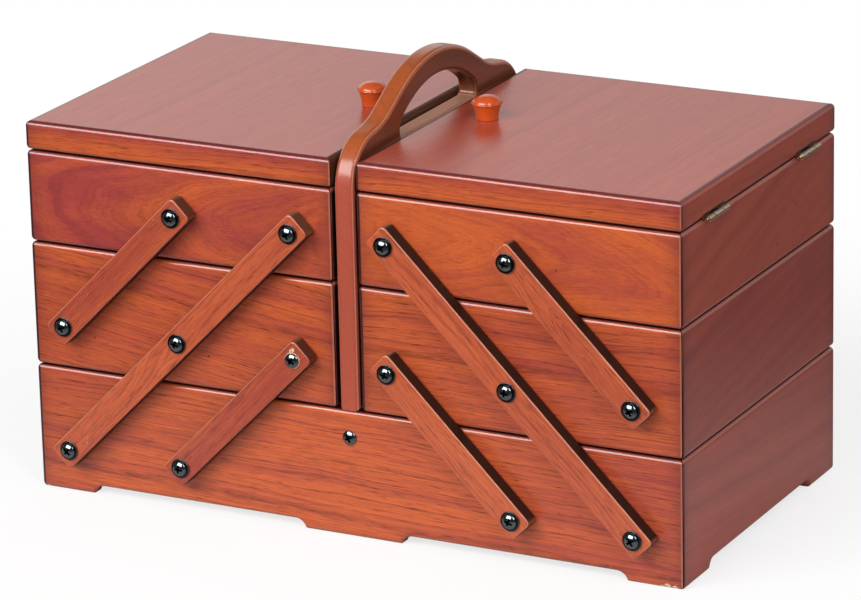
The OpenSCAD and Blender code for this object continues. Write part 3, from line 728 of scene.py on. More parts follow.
@made_once
def sanded_birch_plywood(name):
    """Sanded birch plywood: pale face veneer with fine brown dashes along the fibres, dull."""
    material, n = new_material(name)
    place = n("TexCoord", out="Object")
    # Fibres run across the box, 0.8 mm wide and 40 mm long
    fibre = n("TexNoise", n("VectorMath MULTIPLY", place, (1250, 25, 1250)), 1.0, 4.0)
    figure = n("TexNoise", n("VectorMath MULTIPLY", place, (45, 5, 45)), 1.0, 3.0)
    tone = n("Math MULTIPLY_ADD", figure, 0.5, n("Math MULTIPLY_ADD", fibre, 0.5, 0.0))
    colour = toned(n, tone, settings().finishes.plywood, (1.15, 1.15, 1.15), (0.68, 0.6, 0.52))
    bump = n("Bump", {"Height": fibre, "Strength": 0.5, "Distance": 0.04 * MM})
    n("OutputMaterial", n("BsdfPrincipled", {"Base Color": colour, "Roughness": 0.6, "Normal": bump}))
    return material


@made_once
def black_nickelled_steel(name):
    """Stamped steel with black nickel plating: black, with hard bright reflections, the cross recess drawn
    pitch dark as painted shade, the washers' flat faces near black, and a pale painted highlight along a
    washer's thin edge."""
    material, n = new_material(name)
    # Marks of the stamping, about 0.5 mm wide
    marks = n("TexNoise", n("TexCoord", out="Object"), 2000.0, 2.0)
    colour = toned(n, marks, settings().finishes.black_plate, (0.75, 0.75, 0.75), (1.25, 1.25, 1.25))
    # worn lays a pale painted highlight on the washers' rims; deep paints the cross recesses near black as
    # shade and darkens the washers' flat faces
    for layer, tone in (("worn", "#B4B4AC"), ("deep", "#08090A")):
        colour = n("Mix RGBA", n("Attribute", attribute_name=layer, out="Fac"), colour, linear(tone))
    rough = n("Math MULTIPLY_ADD", marks, 0.12, 0.08)
    n("OutputMaterial", n("BsdfPrincipled", {"Base Color": colour, "Roughness": rough, "Metallic": 1.0}))
    return material


@made_once
def aged_rolled_brass(name):
    """Rolled brass, aged: dull yellow metal with brown patina in patches."""
    material, n = new_material(name)
    # Patches of patina about 2 mm wide
    patch = n("TexNoise", n("TexCoord", out="Object"), 500.0, 4.0)
    colour = toned(n, patch, settings().finishes.brass, (0.6, 0.56, 0.5), (1, 1.06, 1.15))
    rough = n("Math MULTIPLY_ADD", patch, -0.2, 0.34)
    n("OutputMaterial", n("BsdfPrincipled", {"Base Color": colour, "Roughness": rough, "Metallic": 1.0}))
    return material


# ------------------------------------------------------------------ pieces

# Cuts from the log: the pith's height above the board's lower edge and depth
# behind its face in mm, its climb and its dive along the board, the place along
# the log, how much stain the board took up at its left, middle and right, and
# how strongly it shows its figure
CUTS = {
    "base_front": (-95, 40, -0.03, 0.00, 0, (0.35, 0.05, 0.45), 0.3),
    "base_back": (-80, 35, -0.02, 0.03, 900, (0.5, 0.3, 0.4), 0.4),
    "base_left": (-60, 25, 0.05, 0.02, 1800, (0.4, 0.5, 0.5), 0.4),
    "base_right": (-75, 30, -0.06, 0.04, 2700, (0.55, 0.65, 0.65), 0.7),
    "left_middle_front": (-60, 30, -0.12, 0.05, 3600, (0.22, 0.36, 0.22), 0.35),
    "left_middle_back": (130, 30, -0.03, 0.00, 4500, (0.4, 0.4, 0.5), 0.4),
    "left_middle_outer": (-70, 26, 0.05, 0.05, 5400, (0.4, 0.5, 0.5), 0.4),
    "left_middle_inner": (-55, 30, 0.02, 0.00, 6300, (0.5, 0.5, 0.5), 0.4),
    "left_top_front": (27, -43, 0.02, 0.16, 7200, (0.85, 0.75, 0.35), 0.9),
    "left_top_back": (-40, 20, 0.02, 0.10, 8100, (0.5, 0.5, 0.5), 0.4),
    "left_top_outer": (-50, 24, 0.08, 0.00, 9000, (0.5, 0.5, 0.5), 0.4),
    "left_top_inner": (-60, 26, 0.00, 0.03, 9900, (0.5, 0.5, 0.5), 0.4),
    "right_middle_front": (-70, 34, 0.02, 0.03, 10800, (0.15, 0.45, 0.3), 0.25),
    "right_middle_back": (-60, 22, 0.04, 0.05, 11700, (0.5, 0.4, 0.4), 0.4),
    "right_middle_outer": (-40, 28, 0.16, 0.05, 12600, (0.8, 0.9, 0.8), 1.0),
    "right_middle_inner": (-60, 26, 0.00, 0.03, 13500, (0.5, 0.5, 0.5), 0.4),
    "right_top_front": (30, 28, -0.03, 0.14, 14400, (0.1, 0.1, 0.4), 1.0),
    "right_top_back": (-30, 20, 0.05, 0.10, 15300, (0.5, 0.4, 0.5), 0.4),
    "right_top_outer": (-70, 22, 0.26, 0.04, 16200, (0.4, 0.5, 0.4), 0.8),
    "right_top_inner": (-60, 26, 0.00, 0.03, 17100, (0.5, 0.5, 0.5), 0.4),
    "left_lid_front": (-14, 6, 0.03, 0.05, 20000, (0.3, 0.35, 0.4), 0.4),
    "left_lid_back": (-14, 6, 0.02, 0.03, 20700, (0.5, 0.5, 0.5), 0.4),
    "left_lid_outer": (-14, 6, 0.01, 0.05, 21400, (0.5, 0.5, 0.5), 0.4),
    "left_lid_inner": (-14, 6, 0.01, 0.05, 22100, (0.5, 0.5, 0.5), 0.4),
    "right_lid_front": (-10, 5, 0.03, 0.06, 25000, (0.2, 0.25, 0.5), 0.5),
    "right_lid_back": (-14, 6, 0.02, 0.03, 25700, (0.5, 0.5, 0.5), 0.4),
    "right_lid_outer": (-14, 6, 0.01, 0.05, 26400, (0.3, 0.4, 0.4), 0.4),
    "right_lid_inner": (-14, 6, 0.01, 0.05, 27100, (0.5, 0.5, 0.5), 0.4),
}


def notch_ends():
    """Stations along a lid's outer rail at the ends of the notches for its hinges, in pairs 0.2 mm apart."""
    s = settings().hinges
    beyond = [end * (s.long / 2 + step * MM) for end in (-1, 1) for step in (0.4, 0.6)]
    return [side * s.place + step for side in (-1, 1) for step in beyond]


def board_layers(name, local, size, above=False):
    """Grain, stain, edge, highlight and figure layers of a board. Stain runs straight from the board's left to
    its middle and on to its right, and leans from the lower edge to the upper. Edge fades over about 6 mm from
    the ends, is 1 on the upper half of the upper rounding, and weak along the lower edge. It is 2, near black
    painted shade, on the inner part of an upper rounding that lies in a joint, in the notches of the hinges
    and near the ends of the boards that face the handle. The highlight layer marks a pale painted highlight on
    a front or back board's right-hand upright corner and on the upper rounding of an end board, and edge is
    high, as painted shade, on the other upright corners."""
    height, half = size
    *cut, taken, figure = CUTS[name]
    boards, hinges = settings().boards, settings().hinges
    rounding, corner_round = boards.outer_round, boards.corner_round
    on_end = name.endswith(("outer", "inner", "base_left", "base_right"))
    lean = 1.2 if "lid_front" in name else 0.1
    x, inward, up = local.T
    from_end = half - np.abs(x)
    # How far the darkening fades: from the ends, where stain gathered, up from below and in from the rounding
    end_fade, low_fade, inner_fade = 6 * MM, 2.5 * MM, 2 * MM
    ends = 0.6 * np.exp(-np.clip(from_end - 1.5 * MM, 0, None) / end_fade)
    crest = np.clip((inward - 0.15 * rounding) / (0.2 * rounding), 0, 1)
    crest = crest * np.clip(1 - (inward - rounding) / inner_fade, 0, 1)
    top = np.clip(1 - (height - up) / rounding, 0, 1) ** 0.25 * crest
    edge = np.maximum(ends, np.maximum(top, 0.3 * np.exp(-up / low_fade)))
    margin = 0.5 * MM
    outside = inward < rounding + margin
    upper = up > height / 2
    # Painted shade: where the upper rounding lies in a joint, its inner part is drawn near black
    if above:
        in_joint = inward > (0.75 if on_end else 0.5) * rounding
        edge = np.where(outside & in_joint & upper, 2, edge)
    # Painted shade beside the handle: the inner boards near black at their ends, and a lid's inner rail darker
    # over its outer face
    if name.endswith("inner"):
        beside_handle, skin = 12 * MM, 0.1 * MM
        edge = np.where((from_end < beside_handle) & (inward < skin), 2, edge)
        if "lid" in name:
            edge = np.where(outside, 0.65, edge)
    # Painted shade: the notches of the hinges drawn near black
    if name.endswith("lid_outer"):
        notch = (np.abs(np.abs(x) - hinges.place) < hinges.long / 2 + margin) & (up < 0.9 * rounding)
        edge = np.where(notch & outside, 2, edge)
    # Upright corners: a pale painted highlight at the right ends of fronts and backs, and painted shade at all
    # others
    right = (x > 0) & (not on_end)
    reach = np.where(right | on_end, 1, 1.4) * corner_round
    corner = np.clip((reach - from_end) / (0.4 * corner_round), 0, 1) * (inward < 0.6 * MM)
    rubbed = 0.42 * corner * right
    # A pale painted highlight along the upper rounding of an end board, just below its joint
    if on_end and above:
        rubbed = np.where((np.abs(inward / rounding - 0.3) < 0.16) & upper, 0.35, rubbed)
    return {
        "grain": log_coordinates(x, up, inward, cut),
        "stain": np.interp(x / half, (-0.8, 0, 0.8), taken) + lean * (up / height - 0.5),
        "edge": np.maximum(edge, np.where(on_end, 1.35, 1.7) * corner * ~right),
        "rub": rubbed,
        "figure": np.full(len(x), figure),
    }


def boards_round(side, inner_wood):
    """The four boards round a tray or a lid of a side: the name of each, where it faces, and its wood."""
    return (
        ("front", "front", red_stained_pine), ("back", "back", red_stained_pine),
        ("outer", side, dark_stained_pine), ("inner", OTHER_SIDE[side], inner_wood),
    )


def make_wall(node, facing, material, body, cut, section, arches=()):
    """A wall board in the place of its CAD node, with a joint above it."""
    points, faces, *measures = board_points(*map(np.array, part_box(node)), facing, section, arches)
    layers = board_layers(cut, *measures, above=True)
    make_piece(node + "_board", (points, faces), material, body, node, **layers)


class SEWINGBOX_OT_base(bpy.types.Operator):
    """Makes the base: four mitred boards with feet, and its plywood bottom"""

    bl_idname = "sewing_box.base"
    bl_label = "Base"

    def execute(self, context):
        foot, middle = settings().boards.corner_foot, settings().boards.middle_foot / 2
        low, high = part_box("base_bottom")
        section = wall_section(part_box("base_front_panel")[1].z, low.z, high.z - low.z + GROOVE_PLAY)
        half_w, half_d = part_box("base_right_end")[1].x, box_half_depth()
        long_arches = [(-half_w + foot, -middle), (middle, half_w - foot)]
        end_arch = [(-half_d + foot, half_d - foot)]
        for facings, kind, wood, arches in (
            (FACES, "panel", red_stained_pine, long_arches), (SIDES, "end", dark_stained_pine, end_arch),
        ):
            for facing in facings:
                board = f"base_{facing}"
                make_wall(f"{board}_{kind}", facing, wood(), "base", board, section, arches)
        finish_node("base_bottom", sanded_birch_plywood())
        return {"FINISHED"}


class SEWINGBOX_OT_trays(bpy.types.Operator):
    """Makes the four trays: mitred boards round plywood bottoms"""

    bl_idname = "sewing_box.trays"
    bl_label = "Trays"

    def execute(self, context):
        for side, tier in ((side, tier) for side in SIDES for tier in ("middle", "top")):
            tray = f"{side}_{tier}_tray"
            low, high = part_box(f"{tray}_front")
            floor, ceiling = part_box(f"{tray}_bottom")
            section = wall_section(high.z - low.z, floor.z - low.z, ceiling.z - floor.z + GROOVE_PLAY)
            for part, facing, wood in boards_round(side, dark_stained_pine):
                node = f"{tray}_{part}" if part in FACES else f"{tray}_{part}_end"
                make_wall(node, facing, wood(), tray, f"{side}_{tier}_{part}", section)
            finish_node(f"{tray}_bottom", sanded_birch_plywood())
        return {"FINISHED"}


class SEWINGBOX_OT_lids(bpy.types.Operator):
    """Makes the two lids: mitred rails round a flush panel"""

    bl_idname = "sewing_box.lids"
    bl_label = "Lids"

    def execute(self, context):
        lip = settings().boards.panel_lip
        for side in SIDES:
            rails, flat, body = f"{side}_lid_frame", f"{side}_lid_panel", f"{side}_lid"
            low, high = (np.array(c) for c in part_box(rails))
            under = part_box(flat)[0].z
            section = rail_section(high[2] - low[2], high[2] - under)
            # The rail that faces the handle is left without lacquer, in the darker sawn wood, as painted shade
            # beside the handle
            for part, facing, wood in boards_round(side, dark_sawn_pine):
                extra = notch_ends() if part == "outer" else ()
                points, faces, *measures = board_points(low, high, facing, section, extra=extra)
                layers = board_layers(f"{body}_{part}", *measures)
                make_piece(f"{body}_{part}_rail", (points, faces), wood(), body, rails, **layers)
            outline = rectangle(*(low[:2] + lip), *(high[:2] - lip))
            sharp = 0.04 * MM
            panel = plate([outline], under, high[2], [sharp], 1)
            x, y, z = (panel[0] - (low + high) / 2).T
            cut = (-150, 30, 0.04, 0.03, {"left": 30000, "right": 35000}[side])
            make_piece(
                f"{body}_top_panel", panel, dark_stained_pine(), body, flat,
                grain=log_coordinates(y, x, z, cut), stain=np.full(len(x), 0.4), figure=np.full(len(x), 0.3),
            )
        return {"FINISHED"}


def handle_outline():
    """Half outline of the handle as (y, z), from the crown to the shoulder on the base: an arc of the crown's
    radius, a straight slope, a hollow arc, a shoulder and the round nose."""
    s = settings().handle
    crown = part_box("handle_board")[1].z
    half_d = box_half_depth()
    slope, shoulder = math.radians(30), math.radians(10)
    nose_y = half_d - s.nose_round
    shoulder_y = nose_y + s.nose_round * math.sin(shoulder) - s.shoulder * math.cos(shoulder)
    crown_end = (s.crown_round * math.sin(slope), crown - s.crown_round * (1 - math.cos(slope)))
    slope_y = shoulder_y - s.sweep_round * (math.sin(slope) - math.sin(shoulder))
    slope_z = crown_end[1] - (slope_y - crown_end[0]) * math.tan(slope)
    sweep = (slope_y + s.sweep_round * math.sin(slope), slope_z + s.sweep_round * math.cos(slope))
    shoulder_end = (
        sweep[0] - s.sweep_round * math.sin(shoulder) + s.shoulder * math.cos(shoulder),
        sweep[1] - s.sweep_round * math.cos(shoulder) - s.shoulder * math.sin(shoulder),
    )
    nose = (nose_y, shoulder_end[1] - s.nose_round * math.cos(shoulder))
    return np.concatenate(
        (
            arc((0, crown - s.crown_round), s.crown_round, 90, 60, 16),
            arc(sweep, s.sweep_round, 240, 260, 10),
            arc(nose, s.nose_round, 80, 0, 22),
        )
    )


def hand_floor_level():
    """Height of the hand hole's floor."""
    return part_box("left_lid_frame")[1].z - settings().handle.hand_drop


def hand_hole_outline():
    """Half outline of the hand hole as (y, z): an arc about the crown's centre, a rounded upper corner, an
    upright side and a rounded lower corner."""
    s = settings().handle
    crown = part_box("handle_board")[1].z
    centre = crown - s.crown_round
    top = s.crown_round - s.grip
    floor = hand_floor_level()
    half = s.hand_hole / 2
    turn = math.asin((half - s.hand_corner) / (top - s.hand_corner))
    corner = ((top - s.hand_corner) * math.sin(turn), centre + (top - s.hand_corner) * math.cos(turn))
    return np.concatenate(
        (
            arc((0, centre), top, 90, 90 - math.degrees(turn), 16),
            arc(corner, s.hand_corner, 90 - math.degrees(turn), 0, 10)[1:],
            arc((half - s.hand_floor, floor + s.hand_floor), s.hand_floor, 0, -90, 6),
        )
    )


def both_halves(half):
    """A half outline from the middle line down the +y side, and its mirror image: a closed, clockwise line."""
    back = half[::-1] * (-1, 1)
    return np.concatenate((half, back[:-1] if abs(half[0, 0]) < 1e-9 else back))


class SEWINGBOX_OT_handle(bpy.types.Operator):
    """Makes the handle board: a shaped board with rounded edges and a hand hole"""

    bl_idname = "sewing_box.handle"
    bl_label = "Handle board"

    def execute(self, context):
        s = settings().handle
        low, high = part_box("handle_board")
        base_h, half_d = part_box("base_front_panel")[1].z, box_half_depth()
        tenon = half_d - settings().boards.wall - GROOVE_PLAY
        half = np.concatenate((handle_outline(), [(half_d, base_h), (tenon, base_h), (tenon, low.z)]))
        outline, hole = both_halves(half)[::-1], both_halves(hand_hole_outline())
        steps = 10
        points, faces = plate([outline, hole], low.x, high.x, [s.edge_round, s.edge_round * 0.8], steps)
        y, z, x = points.T
        # Rows of points run across the board's thickness. The flat sides are drawn darker, the hand hole
        # darker towards its top as painted shade under the grip, and a pale painted highlight runs along the
        # middle of the roundings and, as a paler sheen, over the hole's floor
        row, place = np.divmod(np.arange(len(points)), 2 * steps + 2)
        floor = hand_floor_level()
        in_hole = row >= len(outline)
        bare = in_hole & (z <= floor + 0.5 * MM)
        fade = 9 * MM
        # Painted shade in the hand hole, darker towards the grip above it
        hollow = np.where(in_hole & ~bare, 0.6 + 0.4 * np.clip((z - floor) / fade, 0, 1), 0.0)
        flat = np.isin(place, (0, 2 * steps + 1))
        rounded = np.isin(place, (steps // 2, steps + 1 + steps // 2))
        # The grip is browner than the board below it, and the stain changes over 20 mm
        grip_low, change = 0.232, 0.02
        # Height from which the board's place in the log is counted
        log_level = 0.2
        board = make_piece(
            "handle_board_shaped", (np.column_stack((x, y, z)), faces), brown_stained_pine(),
            "base", "handle_board",
            grain=log_coordinates(y, z - log_level, x, (-60, 40, 0.02, 0.03, 40000)),
            stain=np.clip((grip_low - z) / change, 0, 1),
            edge=np.where(flat, 0.75, hollow),
            rub=np.where(rounded, np.where(in_hole, 0.5, 0.9), 0.45 * bare),
            figure=np.full(len(points), 0.8),
        )
        # The floor of the hand hole is left without lacquer, in the darker sawn wood, as painted shade under
        # the grip
        bare_faces(
            board,
            lambda normals, centres: (normals[:, 2] > 0.8)
            & (centres[:, 2] < floor + s.hand_floor) & (np.abs(centres[:, 1]) < s.hand_hole / 2),
        )
        return {"FINISHED"}


def pivots(side):
    """Pivots of a side as (x, z): where the long link joins the base, the middle and the top tray, and the
    two ends of the lower and of the upper link."""
    at = {j["name"]: np.array(j["pos_m"])[[0, 2]] for j in frame["joints"]}
    foot, knee, tip = (at[f"{side}_{n}"] for n in ("swing", "middle_tray_turn", "top_tray_turn"))
    lower, upper = at[f"{side}_lower_link_front_turn"], at[f"{side}_upper_link_front_turn"]
    return {
        "long": (foot, knee, tip),
        "lower": (lower, lower + knee - foot),
        "upper": (upper, upper + tip - knee),
    }


# How much stain each link took up
LINK_STAINS = {
    ("left", "long"): 0.35, ("left", "lower"): 0.8, ("left", "upper"): 0.7,
    ("right", "long"): 0.35, ("right", "lower"): 0.25, ("right", "upper"): 0.4,
}


def make_link(name, face, places, cut, taken):
    """A flat bar with rounded corners and eased edges along the line through its pivots, bored at each."""
    s = settings().links
    bore = settings().screws.shank / 2 + BORE_PLAY
    low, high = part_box(name)
    inner, outer = (abs(high.y), abs(low.y)) if face == "front" else (low.y, high.y)
    at = np.array(places) * ((1, 1) if face == "front" else (-1, 1))
    way = at[-1] - at[0]
    reach = float(np.linalg.norm(way))
    way /= reach
    across = np.array((-way[1], way[0]))
    r, w, a, b = s.corner, s.width / 2, -s.end, reach + s.end
    corners = zip(rectangle(a + r, -w + r, b - r, w - r)[[1, 2, 3, 0]], (-90, 0, 90, 180))
    ring = np.concatenate([arc(centre, r, start, start + 90, 5) for centre, start in corners])
    outline = at[0] + ring[:, :1] * way + ring[:, 1:] * across
    holes = [arc(p, bore, 360, 15, 23) for p in at]
    bore_edge = 0.05 * MM
    points, faces = plate([outline, *holes], inner, outer, [s.eased] + [bore_edge] * len(holes), 4)
    flat, level = points[:, :2] - at[0], points[:, 2]
    u, v = flat @ way, flat @ across
    # The dark stain covers the sawn sides, and the end grain less, and a pale painted highlight runs along the
    # eased edges of the face, strong along one long side and faint along the other
    skin, fade = 0.3 * MM, 0.2 * MM
    side_on = np.clip((np.abs(v) - w + skin) / fade, 0, 1)
    end_on = np.clip((skin - np.minimum(u - a, b - u)) / fade, 0, 1)
    on_edge = (level > outer - 0.75 * s.eased) & (level < outer - 0.02 * s.eased)
    bar = make_piece(
        name + "_bar", (on_face(points, face), faces), stained_pine_link(), name, name,
        grain=log_coordinates(u, v, level - inner, cut),
        stain=np.full(len(points), taken), edge=np.maximum(side_on, 0.55 * end_on),
        rub=np.where(on_edge, np.where(v * way[0] > 0, 0.45, 0.06), 0.0), figure=np.full(len(points), 0.35),
    )
    # The sawn sides are left without lacquer
    bare_faces(bar, lambda normals, centres: np.abs(normals[:, 1]) < 0.3)


class SEWINGBOX_OT_links(bpy.types.Operator):
    """Makes the twelve links: flat bars with eased edges, bored for their screws"""

    bl_idname = "sewing_box.links"
    bl_label = "Links"

    def execute(self, context):
        for k, side in enumerate(SIDES):
            for m, (kind, places) in enumerate(pivots(side).items()):
                for n, face in enumerate(FACES):
                    # Each link has its own stretch of a log, 1300 mm from the next
                    shift = 50000 + 1300 * (4 * k + 2 * m + n)
                    cut = (14 + 9 * m - 30 * k, 12 + 4 * n, 0.02 * (1 - m), 0.03, shift)
                    make_link(f"{side}_{kind}_link_{face}", face, places, cut, LINK_STAINS[side, kind])
        return {"FINISHED"}


def dome(radii):
    """Height of a screw head's dome: that of a sphere through its rim and its top."""
    s = settings().screws
    rim_r, rise = s.head / 2, s.head_height - s.head_rim
    sphere = (rim_r**2 + rise**2) / (2 * rise)
    return np.sqrt(np.clip(sphere**2 - radii**2, 0, None)) + s.head_height - sphere


def recess_depth(points):
    """How deep a point of a screw lies in its cross recess: 1 where it is more than 0.3 mm under the domed
    head, within the reach of the recess. The steel is drawn near black by it, as painted shade in the recess."""
    s = settings().screws
    r, level, deep = np.hypot(points[:, 0], points[:, 1]), points[:, 2], 0.3 * MM
    sunk = (r < s.recess / 2) & (level > s.head_rim)
    return np.where(sunk, np.clip((dome(r) - level) / deep, 0, 1), 0)


def pan_head(turn):
    """A domed head on the plane c = 0 with a cross recess, as a function of radius and angle. The columns of
    points follow the edges of the recess: an arm's edge lies at the angle asin(w / r), w being half its
    width. Inside an arm the floor falls towards the middle."""
    s = settings().screws
    rim_r, half, reach = s.head / 2, s.recess_width / 2, s.recess / 2
    # The recess's depth at the middle, its floor's rise to the ends of the arms, the width of its lip, and a
    # small step round the head's lower rim
    deepest, climb, lip_width, step = 1.55 * MM, 0.75 * MM, 0.09 * MM, 0.12 * MM
    meet, quarter = half * math.sqrt(2), math.pi / 4
    arms = np.linspace(meet * 1.25, reach - step, 3)
    past = np.linspace(reach * 1.2, rim_r * 0.985, 6)
    radii = np.concatenate(([meet, meet * 1.02], arms, [reach, reach * 1.04], past))
    arm = np.arcsin(np.clip(half / radii, 0, math.sin(quarter)))
    lip = np.minimum(np.arcsin(np.clip((half + lip_width) / radii, 0, 1)), quarter)
    beside, middle = (quarter - lip) * 0.5, 0 * arm
    spread = [middle - quarter, -lip - beside, -lip, -arm, middle, arm, lip, lip + beside]
    in_arm = np.tile(np.array([0, 0, 0, 1, 1, 1, 0, 0], bool), 4)
    angle = np.stack(spread, axis=1)
    angle = np.concatenate([angle + q * math.pi / 2 for q in range(4)], axis=1) + turn
    floor = s.head_height - deepest + climb * np.clip(radii / reach, 0, 1)
    sunk = (in_arm[None, :] & (radii < reach - MM / 100)[:, None]) | (radii <= meet * 1.01)[:, None]
    top = turned(radii, np.where(sunk, floor[:, None], dome(radii)[:, None]), angle)
    skirt_r = np.array([rim_r, rim_r, rim_r - step, s.shank / 2, s.shank / 2])
    skirt_c = np.array([s.head_rim * 0.92, step, 0.0, 0.0, -0.1 * MM])
    points = np.concatenate((top, turned(skirt_r, skirt_c[:, None], angle[-1])))
    return points.reshape(-1, 3), bar_faces(*points.shape[:2])


def pan_screw(at, seat, shank_end, face, turn):
    """A screw in the front or the back at (x, z): its head on the plane seat away from the middle of the box,
    its shank in to shank_end."""
    r, top, tip, blunt = settings().screws.shank / 2, SHANK_IN_HEAD, shank_end - seat, 0.3 * MM
    shank = lathe([(0, top), (r, top), (r, tip + r), (blunt, tip), (0, tip)], 24)
    points, faces = joined([pan_head(turn), shank])
    return on_face(points, face, at, seat), faces, recess_depth(points)


def washer(at, seat, face):
    """A flat washer with rounded outer edges, turned from a closed profile."""
    s = settings().screws
    r, q, t, e = s.washer / 2, s.shank / 2 + 0.05 * MM, s.washer_thick, 0.3 * MM
    outer_edges = (arc((r - e, t - e), e, 90, 0, 4), arc((r - e, e), e, 0, -90, 4))
    points, faces = lathe(np.concatenate(([(q, t), (r * 0.8, t)], *outer_edges, [(q, 0)])), 56)
    # A pale painted highlight along the outer rounding, and the flat faces drawn near black
    worn = np.clip((np.hypot(points[:, 0], points[:, 1]) - r + e) / e, 0, 1)
    return on_face(points, face, at, seat), faces, 0.35 * worn, 0.78 - 0.5 * worn


def make_screws(node, body, screws, washers):
    """The screws of a body, and their washers if they have any, as two pieces in the place of a CAD node."""
    *shape, deep = joined(screws)
    make_piece(node + "_turned", shape, black_nickelled_steel(), body, node, smooth=50, deep=deep)
    if washers:
        *shape, worn, deep = joined(washers)
        name = node.replace("screws", "washers")
        make_piece(name, shape, black_nickelled_steel(), body, node, worn=worn, deep=deep)


class SEWINGBOX_OT_screws(bpy.types.Operator):
    """Makes the pan-head screws and washers of the links and of the handle board"""

    bl_idname = "sewing_box.screws"
    bl_label = "Screws"

    def execute(self, context):
        s = settings().screws
        half_d = box_half_depth()
        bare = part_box("left_long_link_back")[1].y + s.washer_gap
        play = 0.05 * MM
        seat = bare + s.washer_thick + play
        sides = {side: pivots(side) for side in SIDES}
        in_base = [p[kind][0] for p in sides.values() for kind in ("long", "lower")]
        groups = [("base", "base_pivot_screws", in_base), ("base", "handle_screws", ())]
        for side, p in sides.items():
            for tray, places in (
                (f"{side}_middle_tray", (p["long"][1], p["upper"][0], p["lower"][1])),
                (f"{side}_top_tray", (p["long"][2], p["upper"][1])),
            ):
                groups.append((tray, tray + "_screws", places))
        # The one screw without a washer
        lone = sides["left"]["lower"][1]
        count = 0
        for body, node, places in groups:
            screws, washers = [], []
            for face, at in ((face, at) for face in FACES for at in places):
                count += 1
                plain = face == "front" and np.allclose(at, lone)
                # Each cross stands at its own angle, as a screwdriver leaves it
                turn = math.radians((count * 37 + 12) % 90)
                screws.append(pan_screw(at, bare if plain else seat, half_d - s.bite, face, turn))
                if not plain:
                    washers.append(washer(at, bare, face))
            if node == "handle_screws":
                height, in_handle, turn = 61 * MM, 15 * MM, math.radians(25)
                tip = half_d - settings().boards.wall - in_handle
                screws = [pan_screw((0, height), half_d, tip, face, turn) for face in FACES]
            make_screws(node, body, screws, washers)
        return {"FINISHED"}


def hinge_leaf(y, face_z, up, stretches):
    """A hinge leaf and its knuckles beside the box's right end, as a profile carried along Y. The plate is a
    flat bar with eased edges let into the wood, just proud of it, and each knuckle a rolled tube about the
    hinge's axis whose outer edges are rounded."""
    s = settings().hinges
    wood_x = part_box("right_top_tray_outer_end")[1].x
    pin_low, pin_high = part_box("right_hinge_pins")
    axis_x = pin_low.x + (pin_high.x - pin_low.x) / 2
    axis_z = (pin_low.z + pin_high.z) / 2
    # Roundings of the plate, of the strip that joins it to a knuckle, and of the knuckle's outer edges
    plate_e, strip_e, e = 0.12 * MM, 0.05 * MM, 0.2 * MM
    r, overlap = s.knuckle / 2, MM
    low, high = (face_z - PROUD, face_z + s.leaf) if up else (face_z - s.leaf, face_z + PROUD)
    outline = rectangle(wood_x - s.leaf_width, y - s.long / 2, wood_x, y + s.long / 2)
    parts = [plate([outline], low, high, [plate_e], 2)]
    for start, stop in stretches:
        strip = rectangle(wood_x - overlap, y + start, axis_x, y + stop)
        parts.append(plate([strip], low, high, [strip_e], 1))
        half = (stop - start) / 2
        rims = (arc((r - e, half - e), e, 90, 0, 3), arc((r - e, -half + e), e, 0, -90, 3))
        tube = np.concatenate(([(0, half), (r * 0.5, half)], *rims, [(r * 0.5, -half), (0, -half)]))
        points, faces = lathe(tube, 32)
        x, z, c = points.T
        parts.append((np.column_stack((axis_x + z, y + (start + stop) / 2 + c, axis_z + x)), faces))
    return joined(parts)


def leaf_screw(y, face_z, up):
    """A countersunk screw in a hinge leaf: a flat head, with a shallow dish in place of its cross, and its
    tapering shank, turned from one profile."""
    s = settings().hinges
    # Half the head's width, the depth of the screw's tip, and its place from the wood's outer face
    r, end, inset = s.screw_head / 2, -8 * MM, 4.4 * MM
    head = [(0, -0.25 * MM), (0.5 * MM, -0.2 * MM), (r * 0.75, 0.1 * MM), (r, 0.02 * MM), (r, -0.05 * MM)]
    points, faces = lathe([*head, (MM, -s.leaf), (MM, end + MM), (0.2 * MM, end), (0, end)], 24)
    x, z, c = points.T
    flip = -1 if up else 1
    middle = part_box("right_top_tray_outer_end")[1].x - inset
    return np.column_stack((middle + x, y + z * flip, face_z + c * flip)), faces


def mirrored_to(side, shape):
    """A shape drawn for the right side, turned half round about Z for the left, which it fits because both
    hinges are alike."""
    points, faces = shape
    return (points if side == "right" else points * (-1, -1, 1)), faces


